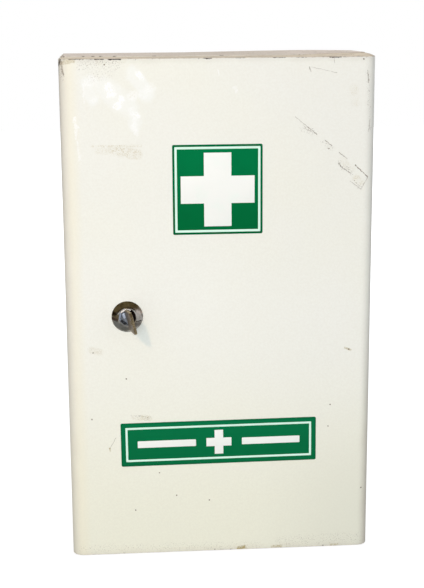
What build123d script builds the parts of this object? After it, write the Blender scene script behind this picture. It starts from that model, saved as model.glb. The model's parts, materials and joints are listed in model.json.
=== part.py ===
from build123d import *
import os
from math import cos, radians, sin

# First aid cabinet of folded steel sheet: a wall case with two shelves, a deep door with two trays,
# two butt hinges on the right and a cam lock with its key on the left.
# +X is to the right, +Y goes back to the wall and +Z up. The origin is the centre of the four wall
# holes, on the back face of the case. Sizes are in millimetres.

# Cabinet
width = 300.0
height = 494.0
depth = 150.0
sheet = 1.0
corner_clear = 1.0

# Case
case_back_bend = 3.0
case_front_bend = 3.0
case_lip = 12.0
cap_skirt = 10.0
cap_lip_clear = 0.3
wall_hole_radius = 3.5
wall_hole_side_inset = 40.0
wall_hole_end_inset = 47.0

# Shelves, measured from the inside of the case's bottom
shelf_lower_rise = 156.0
shelf_upper_rise = 322.0
shelf_skirt = 12.0
shelf_setback = 5.0

# Door
door_depth = 57.0
door_gap = 1.2
door_end_clear = 0.5
door_front_bend = 11.0
door_back_bend = 2.5
door_lip = 9.0

# Door trays, measured from the height of the lock
tray_upper_rise = 80.0
tray_lower_drop = 100.0
tray_lip = 22.0
tray_front_flange = 12.0
tray_setback = 10.0

# Rubber buffers on the front of the case
buffer_radius = 3.2
buffer_clear = 0.3
buffer_end_inset = 31.0
buffer_side_inset = 5.5

# Hinges
hinge_end_inset = 79.0
leaf_height = 60.0
leaf_width = 19.0
leaf_sheet = 1.2
knuckle_radius = 3.0
knuckle_side_clear = 0.3
knuckle_end_clear = 0.3
leaf_edge_clear = 0.8
pin_radius = 1.5
pin_clear = 0.05
pin_head_radius = 2.4
pin_head_height = 1.0

# Hinge rivets
rivet_radius = 1.6
rivet_clear = 0.1
rivet_head_radius = 3.0
rivet_head_height = 1.2
rivet_tail_height = 0.9
rivet_end_inset = 10.0

# Signs on the door, placed from the lock's height and the middle of the door
sign_side = 86.3
sign_rise = 122.6
sign_shift = -1.8
label_length = 195.0
label_height = 45.0
label_drop = 130.7
label_shift = -2.0
label_turn = 0.35
sticker_sheet = 0.3
sticker_corner = 1.5

# Lock
lock_side_inset = 59.4
key_lean = 14.0
rosette_radius = 15.25
rosette_edge = 0.5
rosette_height = 3.6
barrel_radius = 7.0
barrel_flats = 12.6
barrel_reach = 19.0
barrel_clear = 0.1
barrel_rim_radius = 8.4
barrel_rim_height = 1.2
washer_radius = 11.0
washer_sheet = 1.0
nut_flats = 19.0
nut_height = 4.0

# Plug, cam and key
plug_radius = 5.0
plug_clear = 0.05
plug_collar_radius = 6.2
plug_collar_height = 0.8
plug_proud = 0.2
plug_square = 6.4
keyway_depth = 17.5
keyway_clear = 0.2
cam_sheet = 2.0
cam_width = 14.0
cam_hub_radius = 8.0
cam_end_clear = 0.2
cam_tip_clear = 6.0
cam_corner = 3.0
cam_screw_radius = 1.6
cam_screw_length = 5.5
cam_screw_head_radius = 4.6
cam_screw_head_height = 1.8
driver_slot = 0.8
key_sheet = 2.0
key_blade_height = 7.0
key_blade_length = 17.0
key_stem = 6.0
key_bow_length = 24.0
key_bow_height = 20.0
key_bow_corner = 7.0
key_ring_hole = 2.4
key_notch = 1.5

# Striker that the cam turns behind
striker_sheet = 1.5
striker_height = 22.0
striker_hook = 12.0
striker_foot_clear = 0.3
striker_lip_clear = 1.5
striker_cam_clear = 0.6
striker_notch_clear = 3.0

# Planes and places that follow from the sizes
half_width = width / 2
half_height = height / 2
door_front = -depth
door_back = door_front + door_depth
case_front = door_back + door_gap
door_half_height = half_height - door_end_clear
case_floor = -half_height + sheet
shelf_lower_z = case_floor + shelf_lower_rise
shelf_upper_z = case_floor + shelf_upper_rise
tray_upper_z = tray_upper_rise
tray_lower_z = -tray_lower_drop
hinge_x = half_width + knuckle_side_clear + knuckle_radius
hinge_y = (door_back + case_front) / 2
hinge_z = half_height - hinge_end_inset
lock_x = lock_side_inset - half_width
plug_front = door_front - rosette_height - barrel_rim_height - plug_proud
barrel_back = door_front + barrel_reach
cam_front = barrel_back + cam_end_clear
cam_back = cam_front + cam_sheet
striker_x = case_lip + striker_lip_clear - half_width
cam_tip_x = striker_x + striker_sheet + cam_tip_clear
cam_length = lock_x - cam_tip_x
hook_back = cam_front - striker_cam_clear

lean = radians(key_lean)
lock_axis = Axis((lock_x, 0, 0), (0, 1, 0))
lock_section = Plane(origin=(lock_x, 0, 0))
key_plane = Plane(origin=(lock_x, 0, 0), x_dir=(0, -1, 0), z_dir=(-cos(lean), 0, -sin(lean)))

os.makedirs("parts", exist_ok=True)


def lock_plane(y):
    """Plane across the lock's axis, facing out of the door, whose own y runs up the leaning key."""
    return Plane(origin=(lock_x, y, 0), x_dir=(cos(lean), 0, sin(lean)), z_dir=(0, -1, 0))


def plan_outline(inset, y_closed, y_open, closed_bend, open_bend):
    """Plan of a box as wide as the cabinet less the inset, with its own bend at each end."""
    side = half_width - inset
    inward = inset if y_open > y_closed else -inset
    with BuildSketch() as outline:
        with BuildLine():
            FilletPolyline(
                (-side, y_open - inward),
                (side, y_open - inward),
                (side, y_closed + inward),
                (-side, y_closed + inward),
                radius=[open_bend, open_bend, closed_bend, closed_bend],
                close=True,
            )
        make_face()
    return outline.sketch


def wrapper_form(y_closed, y_open, closed_bend, open_bend, lip, half_tall):
    """Sheet folded round three sides, with a lip turned in at the open side between the end caps."""
    with BuildPart() as wrapper:
        with BuildSketch(Plane.XY.offset(-half_tall)):
            add(plan_outline(0, y_closed, y_open, closed_bend, open_bend))
            add(
                plan_outline(sheet, y_closed, y_open, closed_bend - sheet, open_bend - sheet),
                mode=Mode.SUBTRACT,
            )
            with Locations((0, y_open)):
                Rectangle(2 * (half_width - lip), 4 * sheet, mode=Mode.SUBTRACT)
        extrude(amount=2 * half_tall)
        for end in (-1, 1):
            with Locations((0, y_open, end * half_tall)):
                Box(
                    2 * (half_width - open_bend),
                    4 * sheet,
                    2 * (cap_skirt + cap_lip_clear),
                    mode=Mode.SUBTRACT,
                )
    return wrapper.part


def cap_form(y_closed, y_open, closed_bend, open_bend, half_tall):
    """Top end cap of a wrapper: a plate with a skirt, flush with the wrapper's lips at its open side."""
    inward = sheet if y_open > y_closed else -sheet
    inner_closed = closed_bend - sheet + corner_clear
    inner_open = open_bend - sheet + corner_clear
    tongue = half_width - open_bend - cap_lip_clear
    with BuildPart() as cap:
        with BuildSketch(Plane.XY.offset(half_tall)):
            add(plan_outline(sheet, y_closed, y_open, inner_closed, inner_open))
            with Locations((0, y_open - inward)):
                Rectangle(2 * tongue, 2 * sheet)
        extrude(amount=-cap_skirt)
        with BuildSketch(Plane.XY.offset(half_tall - sheet)):
            add(plan_outline(2 * sheet, y_closed, y_open, inner_closed, inner_open))
            with Locations((0, y_open - 2 * inward)):
                Rectangle(2 * (tongue - sheet), 2 * sheet)
        extrude(amount=-cap_skirt, mode=Mode.SUBTRACT)
    return cap.part


def shelf_form(z_top):
    """Shelf with its skirt turned down on all four sides, welded to the sides and back of the case."""
    bend = case_back_bend - sheet + corner_clear
    shelf_front = case_front + sheet + shelf_setback
    with BuildPart() as shelf:
        with BuildSketch(Plane.XY.offset(z_top)):
            add(plan_outline(sheet, shelf_front - sheet, 0, bend, bend))
        extrude(amount=-shelf_skirt)
        with BuildSketch(Plane.XY.offset(z_top - sheet)):
            add(plan_outline(2 * sheet, shelf_front - sheet, 0, bend, bend))
        extrude(amount=-shelf_skirt, mode=Mode.SUBTRACT)
    return shelf.part


def tray_form(z_floor):
    """Door tray: a floor with a tall lip towards the case and a flange welded to the door's face."""
    front = door_front + sheet
    back = door_back - tray_setback
    bend = door_front_bend - sheet + corner_clear
    side = half_width - sheet
    with BuildPart() as tray:
        with BuildSketch(Plane.XY.offset(z_floor)):
            with BuildLine():
                FilletPolyline(
                    (-side, back),
                    (side, back),
                    (side, front),
                    (-side, front),
                    radius=[0, 0, bend, bend],
                    close=True,
                )
            make_face()
        extrude(amount=-sheet)
        with Locations((0, back - sheet / 2, z_floor)):
            Box(2 * side, sheet, tray_lip, align=(Align.CENTER, Align.CENTER, Align.MIN))
        with Locations((0, front + sheet / 2, z_floor)):
            Box(
                2 * (side - bend),
                sheet,
                tray_front_flange,
                align=(Align.CENTER, Align.CENTER, Align.MIN),
            )
    return tray.part


def leaf_form(z_middle, direction, knuckle_slots):
    """Hinge leaf outside the right wall; direction +1 lies on the case and -1 on the door."""
    knuckle_tall = leaf_height / 3
    near = hinge_y + direction * (knuckle_radius + leaf_edge_clear)
    far = hinge_y + direction * leaf_width
    tab = near - hinge_y
    with BuildPart() as leaf:
        with Locations((half_width + leaf_sheet / 2, (near + far) / 2, z_middle)):
            Box(leaf_sheet, abs(far - near), leaf_height)
        for slot in knuckle_slots:
            slot_z = z_middle + slot * knuckle_tall
            tall = knuckle_tall - knuckle_end_clear
            with Locations((half_width + leaf_sheet / 2, hinge_y + tab / 2, slot_z)):
                Box(leaf_sheet, abs(tab), tall)
            with Locations((hinge_x, hinge_y, slot_z)):
                Cylinder(knuckle_radius, tall)
        # Only the strip behind the knuckle's middle joins it to the wall side of the leaf
        with Locations((half_width, hinge_y - direction * knuckle_radius, z_middle)):
            Box(
                2 * knuckle_side_clear,
                2 * (knuckle_radius + door_gap),
                leaf_height,
                mode=Mode.SUBTRACT,
            )
        with Locations((hinge_x, hinge_y, z_middle)):
            Cylinder(pin_radius + pin_clear, leaf_height, mode=Mode.SUBTRACT)
        with Locations(*rivet_places(z_middle, direction)):
            Cylinder(
                rivet_radius + rivet_clear, 4 * leaf_sheet, rotation=(0, 90, 0), mode=Mode.SUBTRACT
            )
    return leaf.part


def rivet_places(z_middle, direction):
    """The two rivet centres of a leaf, on the outside of the right wall."""
    y = hinge_y + direction * (leaf_width + knuckle_radius) / 2
    reach = leaf_height / 2 - rivet_end_inset
    return [(half_width, y, z_middle + end * reach) for end in (-1, 1)]


def all_rivet_places(direction):
    """Every rivet centre on the case (+1) or on the door (-1)."""
    return rivet_places(hinge_z, direction) + rivet_places(-hinge_z, direction)


def pin_form(z_middle):
    """Hinge pin with a head at each end of the barrel."""
    tall = leaf_height - knuckle_end_clear
    with BuildPart() as pin:
        with Locations((hinge_x, hinge_y, z_middle)):
            Cylinder(pin_radius, tall)
        for end in (-1, 1):
            with Locations((hinge_x, hinge_y, z_middle + end * (tall + pin_head_height) / 2)):
                Cylinder(pin_head_radius, pin_head_height)
    return pin.part


def rivet_form():
    """Blind rivet along +X from its tail inside the wall to its domed head on the leaf."""
    grip = sheet + leaf_sheet
    dome_radius = (rivet_head_radius**2 + rivet_head_height**2) / (2 * rivet_head_height)
    with BuildPart() as rivet:
        with BuildSketch(Plane.XZ):
            with BuildLine():
                Polyline(
                    (0, rivet_head_height),
                    (0, -grip - rivet_tail_height),
                    (rivet_radius + rivet_tail_height, -grip - rivet_tail_height),
                    (rivet_radius + rivet_tail_height, -grip),
                    (rivet_radius, -grip),
                    (rivet_radius, 0),
                    (rivet_head_radius, 0),
                )
                RadiusArc((rivet_head_radius, 0), (0, rivet_head_height), -dome_radius)
            make_face()
        revolve(axis=Axis.Z)
    return rivet.part


def rivet_group(direction):
    """All rivets of the leaves on one side, as separate solids."""
    rivet = rivet_form()
    with BuildPart() as rivets:
        with Locations(
            *[Location((x + leaf_sheet, y, z), (0, 90, 0)) for x, y, z in all_rivet_places(direction)]
        ):
            add(rivet)
    return rivets.part


def finish(piece, name):
    """Name the piece and write it to its own file."""
    piece.part.label = name
    export_step(piece.part, f"parts/{name}.step")


# Case

with BuildPart() as case_wrapper:
    add(wrapper_form(0, case_front, case_back_bend, case_front_bend, case_lip, half_height))
    with BuildSketch(Plane.XZ):
        with GridLocations(width - 2 * wall_hole_side_inset, height - 2 * wall_hole_end_inset, 2, 2):
            Circle(wall_hole_radius)
    extrude(amount=2 * sheet, mode=Mode.SUBTRACT)
    with Locations(*all_rivet_places(1)):
        Cylinder(rivet_radius + rivet_clear, 4 * sheet, rotation=(0, 90, 0), mode=Mode.SUBTRACT)
finish(case_wrapper, "case_wrapper")

with BuildPart() as case_top_cap:
    add(cap_form(0, case_front, case_back_bend, case_front_bend, half_height))
finish(case_top_cap, "case_top_cap")

with BuildPart() as case_bottom_cap:
    add(mirror(case_top_cap.part, about=Plane.XY, mode=Mode.PRIVATE))
finish(case_bottom_cap, "case_bottom_cap")

with BuildPart() as shelf_upper:
    add(shelf_form(shelf_upper_z))
finish(shelf_upper, "shelf_upper")

with BuildPart() as shelf_lower:
    add(shelf_form(shelf_lower_z))
finish(shelf_lower, "shelf_lower")

# The striker's foot is welded behind the left lip, and its hook stands in the cam's way
with BuildPart() as lock_striker:
    foot_front = case_front + sheet
    foot_end = case_front_bend + striker_foot_clear - half_width
    with BuildSketch(Plane.XY.offset(-striker_height / 2)):
        with BuildLine():
            Polyline(
                (foot_end, foot_front),
                (striker_x, foot_front),
                (striker_x, hook_back - striker_sheet),
                (striker_x + striker_sheet + striker_hook, hook_back - striker_sheet),
                (striker_x + striker_sheet + striker_hook, hook_back),
                (striker_x + striker_sheet, hook_back),
                (striker_x + striker_sheet, foot_front + striker_sheet),
                (foot_end, foot_front + striker_sheet),
                close=True,
            )
        make_face()
    extrude(amount=striker_height)
finish(lock_striker, "lock_striker")

with BuildPart() as door_buffers:
    with BuildSketch(Plane.XZ.offset(-case_front)):
        with GridLocations(width - 2 * buffer_side_inset, height - 2 * buffer_end_inset, 2, 2):
            Circle(buffer_radius)
    extrude(amount=door_gap - buffer_clear)
finish(door_buffers, "door_buffers")

# Hinges: the case has the two end knuckles of each, the door has the middle one

with BuildPart() as case_leaf_upper:
    add(leaf_form(hinge_z, 1, (-1, 1)))
finish(case_leaf_upper, "case_leaf_upper")

with BuildPart() as case_leaf_lower:
    add(leaf_form(-hinge_z, 1, (-1, 1)))
finish(case_leaf_lower, "case_leaf_lower")

with BuildPart() as hinge_pin_upper:
    add(pin_form(hinge_z))
finish(hinge_pin_upper, "hinge_pin_upper")

with BuildPart() as hinge_pin_lower:
    add(pin_form(-hinge_z))
finish(hinge_pin_lower, "hinge_pin_lower")

with BuildPart() as case_rivets:
    add(rivet_group(1))
finish(case_rivets, "case_rivets")

with BuildPart() as door_leaf_upper:
    add(leaf_form(hinge_z, -1, (0,)))
finish(door_leaf_upper, "door_leaf_upper")

with BuildPart() as door_leaf_lower:
    add(leaf_form(-hinge_z, -1, (0,)))
finish(door_leaf_lower, "door_leaf_lower")

with BuildPart() as door_rivets:
    add(rivet_group(-1))
finish(door_rivets, "door_rivets")

# Door

with BuildPart() as door_skin:
    add(
        wrapper_form(
            door_front, door_back, door_front_bend, door_back_bend, door_lip, door_half_height
        )
    )
    with BuildSketch(Plane.XZ.offset(-door_front - 2 * sheet)):
        with Locations((lock_x, 0)):
            Circle(barrel_radius + barrel_clear)
            Rectangle(
                barrel_flats + 2 * barrel_clear, 4 * barrel_radius, mode=Mode.INTERSECT
            )
    extrude(amount=4 * sheet, mode=Mode.SUBTRACT)
    with Locations(*all_rivet_places(-1)):
        Cylinder(rivet_radius + rivet_clear, 4 * sheet, rotation=(0, 90, 0), mode=Mode.SUBTRACT)
    # The left lip is open where the striker passes it
    with Locations((sheet - half_width + door_lip, door_back, 0)):
        Box(
            2 * door_lip,
            4 * door_back_bend,
            striker_height + 2 * striker_notch_clear,
            mode=Mode.SUBTRACT,
        )
finish(door_skin, "door_skin")

with BuildPart() as door_top_cap:
    add(cap_form(door_front, door_back, door_front_bend, door_back_bend, door_half_height))
finish(door_top_cap, "door_top_cap")

with BuildPart() as door_bottom_cap:
    add(mirror(door_top_cap.part, about=Plane.XY, mode=Mode.PRIVATE))
finish(door_bottom_cap, "door_bottom_cap")

with BuildPart() as door_tray_upper:
    add(tray_form(tray_upper_z))
finish(door_tray_upper, "door_tray_upper")

with BuildPart() as door_tray_lower:
    add(tray_form(tray_lower_z))
finish(door_tray_lower, "door_tray_lower")

with BuildPart() as cross_sign:
    with BuildSketch(Plane.XZ.offset(-door_front)):
        with Locations((sign_shift, sign_rise)):
            RectangleRounded(sign_side, sign_side, sticker_corner)
    extrude(amount=sticker_sheet)
finish(cross_sign, "cross_sign")

with BuildPart() as name_label:
    with BuildSketch(Plane.XZ.offset(-door_front)):
        with Locations((label_shift, -label_drop)):
            RectangleRounded(label_length, label_height, sticker_corner, rotation=label_turn)
    extrude(amount=sticker_sheet)
finish(name_label, "name_label")

# Lock

with BuildPart() as lock_rosette:
    with BuildSketch(lock_section):
        with BuildLine():
            inner = barrel_radius + barrel_clear
            top_radius = barrel_rim_radius + sheet / 2
            middle = (rosette_radius + top_radius) / 2
            Polyline(
                (top_radius, door_front - rosette_height),
                (inner, door_front - rosette_height),
                (inner, door_front),
                (rosette_radius, door_front),
                (rosette_radius, door_front - rosette_edge),
            )
            ThreePointArc(
                (rosette_radius, door_front - rosette_edge),
                (middle + sheet / 4, door_front - rosette_height * 0.62),
                (top_radius, door_front - rosette_height),
            )
        make_face()
    revolve(axis=lock_axis)
finish(lock_rosette, "lock_rosette")

with BuildPart() as lock_barrel:
    rim_back = door_front - rosette_height
    rim_front = rim_back - barrel_rim_height
    collar_back = plug_front + plug_proud + plug_collar_height
    with BuildSketch(lock_section):
        with BuildLine():
            Polyline(
                (plug_radius + plug_clear, barrel_back),
                (barrel_radius, barrel_back),
                (barrel_radius, rim_back),
                (barrel_rim_radius, rim_back),
                (barrel_rim_radius, rim_front + barrel_rim_height / 2),
                (barrel_rim_radius - barrel_rim_height / 2, rim_front),
                (plug_collar_radius + plug_clear, rim_front),
                (plug_collar_radius + plug_clear, collar_back),
                (plug_radius + plug_clear, collar_back),
                close=True,
            )
        make_face()
    revolve(axis=lock_axis)
    for side in (-1, 1):
        with Locations((lock_x + side * barrel_radius, (rim_back + barrel_back) / 2, 0)):
            Box(
                2 * barrel_radius - barrel_flats,
                barrel_back - rim_back,
                2 * barrel_radius,
                mode=Mode.SUBTRACT,
            )
finish(lock_barrel, "lock_barrel")

with BuildPart() as lock_washer:
    with BuildSketch(Plane.XZ.offset(-door_front - sheet)):
        with Locations((lock_x, 0)):
            Circle(washer_radius)
            Circle(barrel_radius + barrel_clear, mode=Mode.SUBTRACT)
    extrude(amount=-washer_sheet)
finish(lock_washer, "lock_washer")

with BuildPart() as lock_nut:
    with BuildSketch(Plane.XZ.offset(-door_front - sheet - washer_sheet)):
        with Locations((lock_x, 0)):
            RegularPolygon(nut_flats / 2, 6, major_radius=False)
            Circle(barrel_radius + barrel_clear, mode=Mode.SUBTRACT)
    extrude(amount=-nut_height)
finish(lock_nut, "lock_nut")

# Plug, cam and key, all turned by the key's lean at rest

with BuildPart() as lock_plug:
    collar_back = plug_front + plug_proud + plug_collar_height
    with BuildSketch(lock_section):
        with BuildLine():
            Polyline(
                (0, plug_front),
                (plug_collar_radius - plug_proud, plug_front),
                (plug_collar_radius, plug_front + plug_proud),
                (plug_collar_radius, collar_back - plug_clear),
                (plug_radius, collar_back - plug_clear),
                (plug_radius, barrel_back),
                (0, barrel_back),
                close=True,
            )
        make_face()
    revolve(axis=lock_axis)
    with BuildSketch(lock_plane(barrel_back)):
        Rectangle(plug_square, plug_square)
    extrude(amount=-cam_end_clear - cam_sheet)
    with BuildSketch(lock_plane(plug_front)):
        Rectangle(key_sheet + 2 * keyway_clear, key_blade_height + 2 * keyway_clear)
    extrude(amount=-keyway_depth, mode=Mode.SUBTRACT)
    with BuildSketch(lock_plane(cam_back)):
        Circle(cam_screw_radius + plug_clear)
    extrude(amount=cam_screw_length, mode=Mode.SUBTRACT)
finish(lock_plug, "lock_plug")

with BuildPart() as lock_cam:
    with BuildSketch(lock_plane(cam_back)):
        with Locations((0, cam_length / 2)):
            Rectangle(cam_width, cam_length)
        fillet(vertices().group_by(Axis.Y)[-1], cam_corner)
        Circle(cam_hub_radius)
        Rectangle(plug_square + 2 * plug_clear, plug_square + 2 * plug_clear, mode=Mode.SUBTRACT)
    extrude(amount=cam_sheet)
finish(lock_cam, "lock_cam")

with BuildPart() as cam_screw:
    with BuildSketch(lock_plane(cam_back)):
        Circle(cam_screw_head_radius)
    extrude(amount=-cam_screw_head_height)
    with BuildSketch(lock_plane(cam_back)):
        Circle(cam_screw_radius)
    extrude(amount=cam_screw_length - keyway_clear)
    with BuildSketch(lock_plane(cam_back + cam_screw_head_height)):
        Rectangle(2.5 * cam_screw_head_radius, driver_slot)
    extrude(amount=driver_slot, mode=Mode.SUBTRACT)
finish(cam_screw, "cam_screw")

with BuildPart() as key:
    shoulder = -plug_front
    tip = shoulder - key_blade_length
    bow_start = shoulder + key_stem
    with BuildSketch(key_plane):
        with Locations(((tip + bow_start + key_bow_corner) / 2, 0)):
            Rectangle(bow_start + key_bow_corner - tip, key_blade_height)
        chamfer(vertices().group_by(Axis.X)[0], key_blade_height / 3)
        with Locations((bow_start + key_bow_length / 2, 0)):
            RectangleRounded(key_bow_length, key_bow_height, key_bow_corner)
        with Locations((bow_start + key_bow_length - key_bow_corner, 0)):
            Circle(key_ring_hole, mode=Mode.SUBTRACT)
        notch_places = [tip + key_blade_length * share for share in (0.3, 0.5, 0.7)]
        for place in notch_places:
            with Locations((place, -key_blade_height / 2)):
                Rectangle(
                    key_notch * 2 ** 0.5, key_notch * 2 ** 0.5, rotation=45, mode=Mode.SUBTRACT
                )
    extrude(amount=key_sheet / 2, both=True)
finish(key, "key")
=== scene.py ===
"""Steel first aid cabinet: its visible pieces and their finishes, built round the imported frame.

Places and sizes are millimetres in the row frame: +X to the right, +Y to the wall, +Z up, with the origin
at the centre of the four wall holes. Meshes are turned into metres when they are stored. Only the studio's
places are metres.
"""

import json
import logging
import math
from dataclasses import dataclass, field, replace
from enum import Enum
from typing import Callable, Iterable, Sequence

import bmesh
import bpy
from mathutils import Matrix, Vector, noise

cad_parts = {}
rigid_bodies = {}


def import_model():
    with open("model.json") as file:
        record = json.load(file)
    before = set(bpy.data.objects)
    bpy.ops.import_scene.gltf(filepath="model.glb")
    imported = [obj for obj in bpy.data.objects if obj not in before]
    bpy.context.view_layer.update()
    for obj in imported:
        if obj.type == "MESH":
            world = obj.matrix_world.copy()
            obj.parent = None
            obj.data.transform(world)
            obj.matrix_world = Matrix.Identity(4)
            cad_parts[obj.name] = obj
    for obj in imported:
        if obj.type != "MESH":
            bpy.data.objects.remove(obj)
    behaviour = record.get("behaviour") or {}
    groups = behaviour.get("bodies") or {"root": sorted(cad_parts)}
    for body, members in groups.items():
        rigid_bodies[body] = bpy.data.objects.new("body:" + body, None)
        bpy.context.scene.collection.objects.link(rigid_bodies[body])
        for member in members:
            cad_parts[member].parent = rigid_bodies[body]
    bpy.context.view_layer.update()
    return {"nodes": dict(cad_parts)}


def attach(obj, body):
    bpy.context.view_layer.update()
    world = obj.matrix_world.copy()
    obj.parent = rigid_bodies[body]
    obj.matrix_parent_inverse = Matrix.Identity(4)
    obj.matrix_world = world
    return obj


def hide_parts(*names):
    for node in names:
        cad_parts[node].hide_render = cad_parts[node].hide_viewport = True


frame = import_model()

MM = 0.001
LOG = logging.getLogger("first_aid_cabinet")

HALF_WIDTH = 150.0
CASE_HALF_HEIGHT = 247.0
DOOR_HALF_HEIGHT = 246.5
DOOR_FRONT = -150.0
LOCK_X = -90.6
PLUG_FRONT = -155.0
KEY_LEAN = 14.0
RIVET_HOLE = 1.7
CUTTER_LENGTH = 6.0

# Own z out of the door, and own z to the right
FACING = Matrix.Rotation(math.pi / 2, 4, "X")
SIDEWAYS = Matrix.Rotation(math.pi / 2, 4, "Y")

Point2 = tuple[float, float]
Point3 = tuple[float, float, float]
Colour = tuple[float, float, float, float]
Form = bmesh.types.BMesh
Socket = bpy.types.NodeSocket
Value = Socket | float | Sequence[float]
Inputs = dict[str | int, Value] | Sequence[Value]
Height = Callable[[float, float], float]
# The two limits of a smooth step, then what it gives at each where that isn't 0 and 1
Run = tuple[float, ...]
# What Shading.grain takes: size and layers
Grain = tuple[float, float]
# What Shading.front takes: reach, size and layers
Shake = tuple[float, float, float]
# What Shading.mottle takes: size, layers, smooth step and, where it isn't the usual one, the layers' strength
Patchy = tuple[float | Run, ...]
# What spread takes: first, last and largest distance
Span = tuple[float, float, float]


class Body(Enum):
    """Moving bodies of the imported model."""

    CASE = "case"
    DOOR = "door"
    PLUG = "plug"
    KEY = "key"


class Slot(Enum):
    """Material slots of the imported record, which a new piece takes its finish from."""

    CASE_ENAMEL = "enamel_case"
    DOOR_ENAMEL = "enamel_door"
    GREEN_VINYL = "green_vinyl"
    ZINC = "zinc_plate"
    PIN_STEEL = "pin_steel"
    RIVET = "rivet_aluminium"
    RUBBER = "buffer_rubber"
    CHROME = "lock_chrome"
    NICKEL = "lock_nickel"
    KEY_METAL = "key_brass"


def srgb(red: float, green: float, blue: float) -> Colour:
    """Gives the linear colour of an sRGB colour.

    Args:
        red: Red, from 0 to 255.
        green: Green, from 0 to 255.
        blue: Blue, from 0 to 255.

    Returns:
        The colour in linear light, with full opacity.
    """
    shares = [channel / 255 for channel in (red, green, blue)]
    linear = [share / 12.92 if share <= 0.04045 else ((share + 0.055) / 1.055) ** 2.4 for share in shares]
    return (linear[0], linear[1], linear[2], 1.0)


def eased(value: float, low: float, high: float) -> float:
    """Gives how far a value is between two limits, eased at both.

    Args:
        value: The value.
        low: The limit where the share is 0.
        high: The limit where the share is 1. It may be under low.

    Returns:
        A share from 0 to 1.
    """
    share = min(max((value - low) / (high - low), 0.0), 1.0)
    return share * share * (3 - 2 * share)


# Strokes draw scratches, chip lines and stains, and also painted glare and glints on the door's face and
# painted reflections and shadows on the lock
@dataclass(frozen=True)
class Stroke:
    """A straight scratch, chip line or stain on the door's face, from one (x, z) to another."""

    start: Point2
    end: Point2
    width: float
    strength: float = 1.0


# Rust where the enamel has chipped off along the door's upper edge
CHIPPED_EDGE = (
    Stroke((-149.5, 241.0), (-147.6, 246.3), 1.1, 0.8),
    Stroke((-140.0, 246.5), (-126.5, 246.5), 0.6, 0.8),
    Stroke((-123.5, 246.6), (-118.0, 246.6), 0.5, 0.8),
    Stroke((-115.6, 246.4), (-108.0, 246.4), 0.9, 1.0),
    Stroke((-103.0, 246.3), (-92.2, 246.3), 1.1, 1.0),
    Stroke((-85.5, 246.6), (-82.0, 246.6), 0.4, 0.6),
    Stroke((-13.5, 246.4), (-7.0, 246.4), 0.9, 1.0),
    Stroke((15.8, 246.5), (24.5, 246.5), 0.6, 0.75),
    Stroke((50.8, 246.5), (62.4, 246.5), 0.55, 0.9),
    Stroke((73.0, 246.6), (80.4, 246.6), 0.5, 0.8),
    Stroke((97.0, 246.6), (101.0, 246.6), 0.4, 0.6),
    Stroke((105.0, 246.4), (115.4, 246.4), 0.8, 0.95),
    Stroke((118.0, 246.6), (119.8, 246.6), 0.5, 0.7),
)
# Marks on the top plates, from one (x, y) to another, with y times the finish's plan_scale
TOP_EDGE = (
    Stroke((-140.0, -44.9), (-126.5, -44.9), 0.6, 0.7),
    Stroke((-115.6, -44.8), (-108.0, -44.7), 1.0, 0.9),
    Stroke((-103.0, -44.7), (-92.2, -44.8), 1.2, 0.9),
    Stroke((-13.5, -44.8), (-7.0, -44.8), 0.9, 0.9),
    Stroke((15.8, -44.9), (24.5, -44.9), 0.6, 0.7),
    Stroke((50.8, -44.9), (62.4, -44.9), 0.7, 0.8),
    Stroke((73.0, -45.0), (80.4, -45.0), 0.5, 0.7),
    Stroke((105.0, -44.7), (115.4, -44.8), 0.9, 0.9),
    Stroke((132.0, -44.0), (134.0, -43.6), 0.8, 0.6),
)
TOP_SPOTS = (
    Stroke((-148.0, -36.0), (-146.8, -35.2), 1.9, 0.8),
    Stroke((-127.6, -36.2), (-127.0, -35.9), 1.5, 0.7),
    Stroke((-118.5, -36.1), (-117.6, -35.7), 1.6, 0.8),
    Stroke((-110.6, -36.2), (-110.0, -35.4), 1.9, 0.9),
    Stroke((-97.0, -36.0), (-96.3, -35.3), 2.0, 0.9),
    Stroke((-60.0, -36.6), (-57.0, -36.6), 0.7, 0.4),
    Stroke((6.0, -36.6), (9.0, -36.6), 0.7, 0.4),
)
SCRATCHES = (
    Stroke((130.6, 144.0), (143.4, 132.2), 0.55, 0.9),
    Stroke((72.6, 190.6), (82.0, 183.0), 0.35, 0.45),
    Stroke((82.0, 183.0), (92.9, 174.2), 0.45, 0.75),
    Stroke((80.9, 180.1), (88.6, 176.2), 0.35, 0.5),
    Stroke((101.2, 168.4), (108.0, 162.6), 0.45, 0.65),
    Stroke((114.9, 156.3), (122.7, 150.4), 0.45, 0.7),
    Stroke((115.0, 146.2), (117.0, 142.3), 0.5, 0.8),
    Stroke((117.0, 142.3), (126.8, 135.9), 0.45, 0.7),
    Stroke((126.0, 128.7), (136.8, 120.7), 0.4, 0.45),
    Stroke((143.4, 132.2), (136.8, 120.7), 0.4, 0.5),
    Stroke((85.6, 237.2), (87.0, 233.0), 0.5, 0.75),
    Stroke((87.5, 237.2), (111.8, 231.8), 0.25, 0.5),
    Stroke((109.2, 246.3), (109.3, 240.7), 0.3, 0.5),
    Stroke((141.4, 233.9), (142.3, 222.0), 0.5, 0.6),
    Stroke((144.3, 186.8), (143.5, 176.4), 0.45, 0.5),
    Stroke((-147.0, 244.5), (-145.2, 232.0), 0.8, 0.55),
    Stroke((-104.6, -123.5), (-110.6, -134.5), 0.3, 0.5),
)
# Middles of round rust specks on the door's face
SPECKS = (
    (137.4, 244.2), (104.9, 160.2), (-127.5, -103.6), (-92.8, -63.0), (-124.7, -35.7), (-61.8, -161.2),
    (-44.8, -185.9), (-11.9, -192.2), (-86.2, -200.2), (109.6, -95.4), (127.8, -38.6), (107.8, -117.9),
    (142.6, -184.5), (-107.0, 241.2),
)
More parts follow.
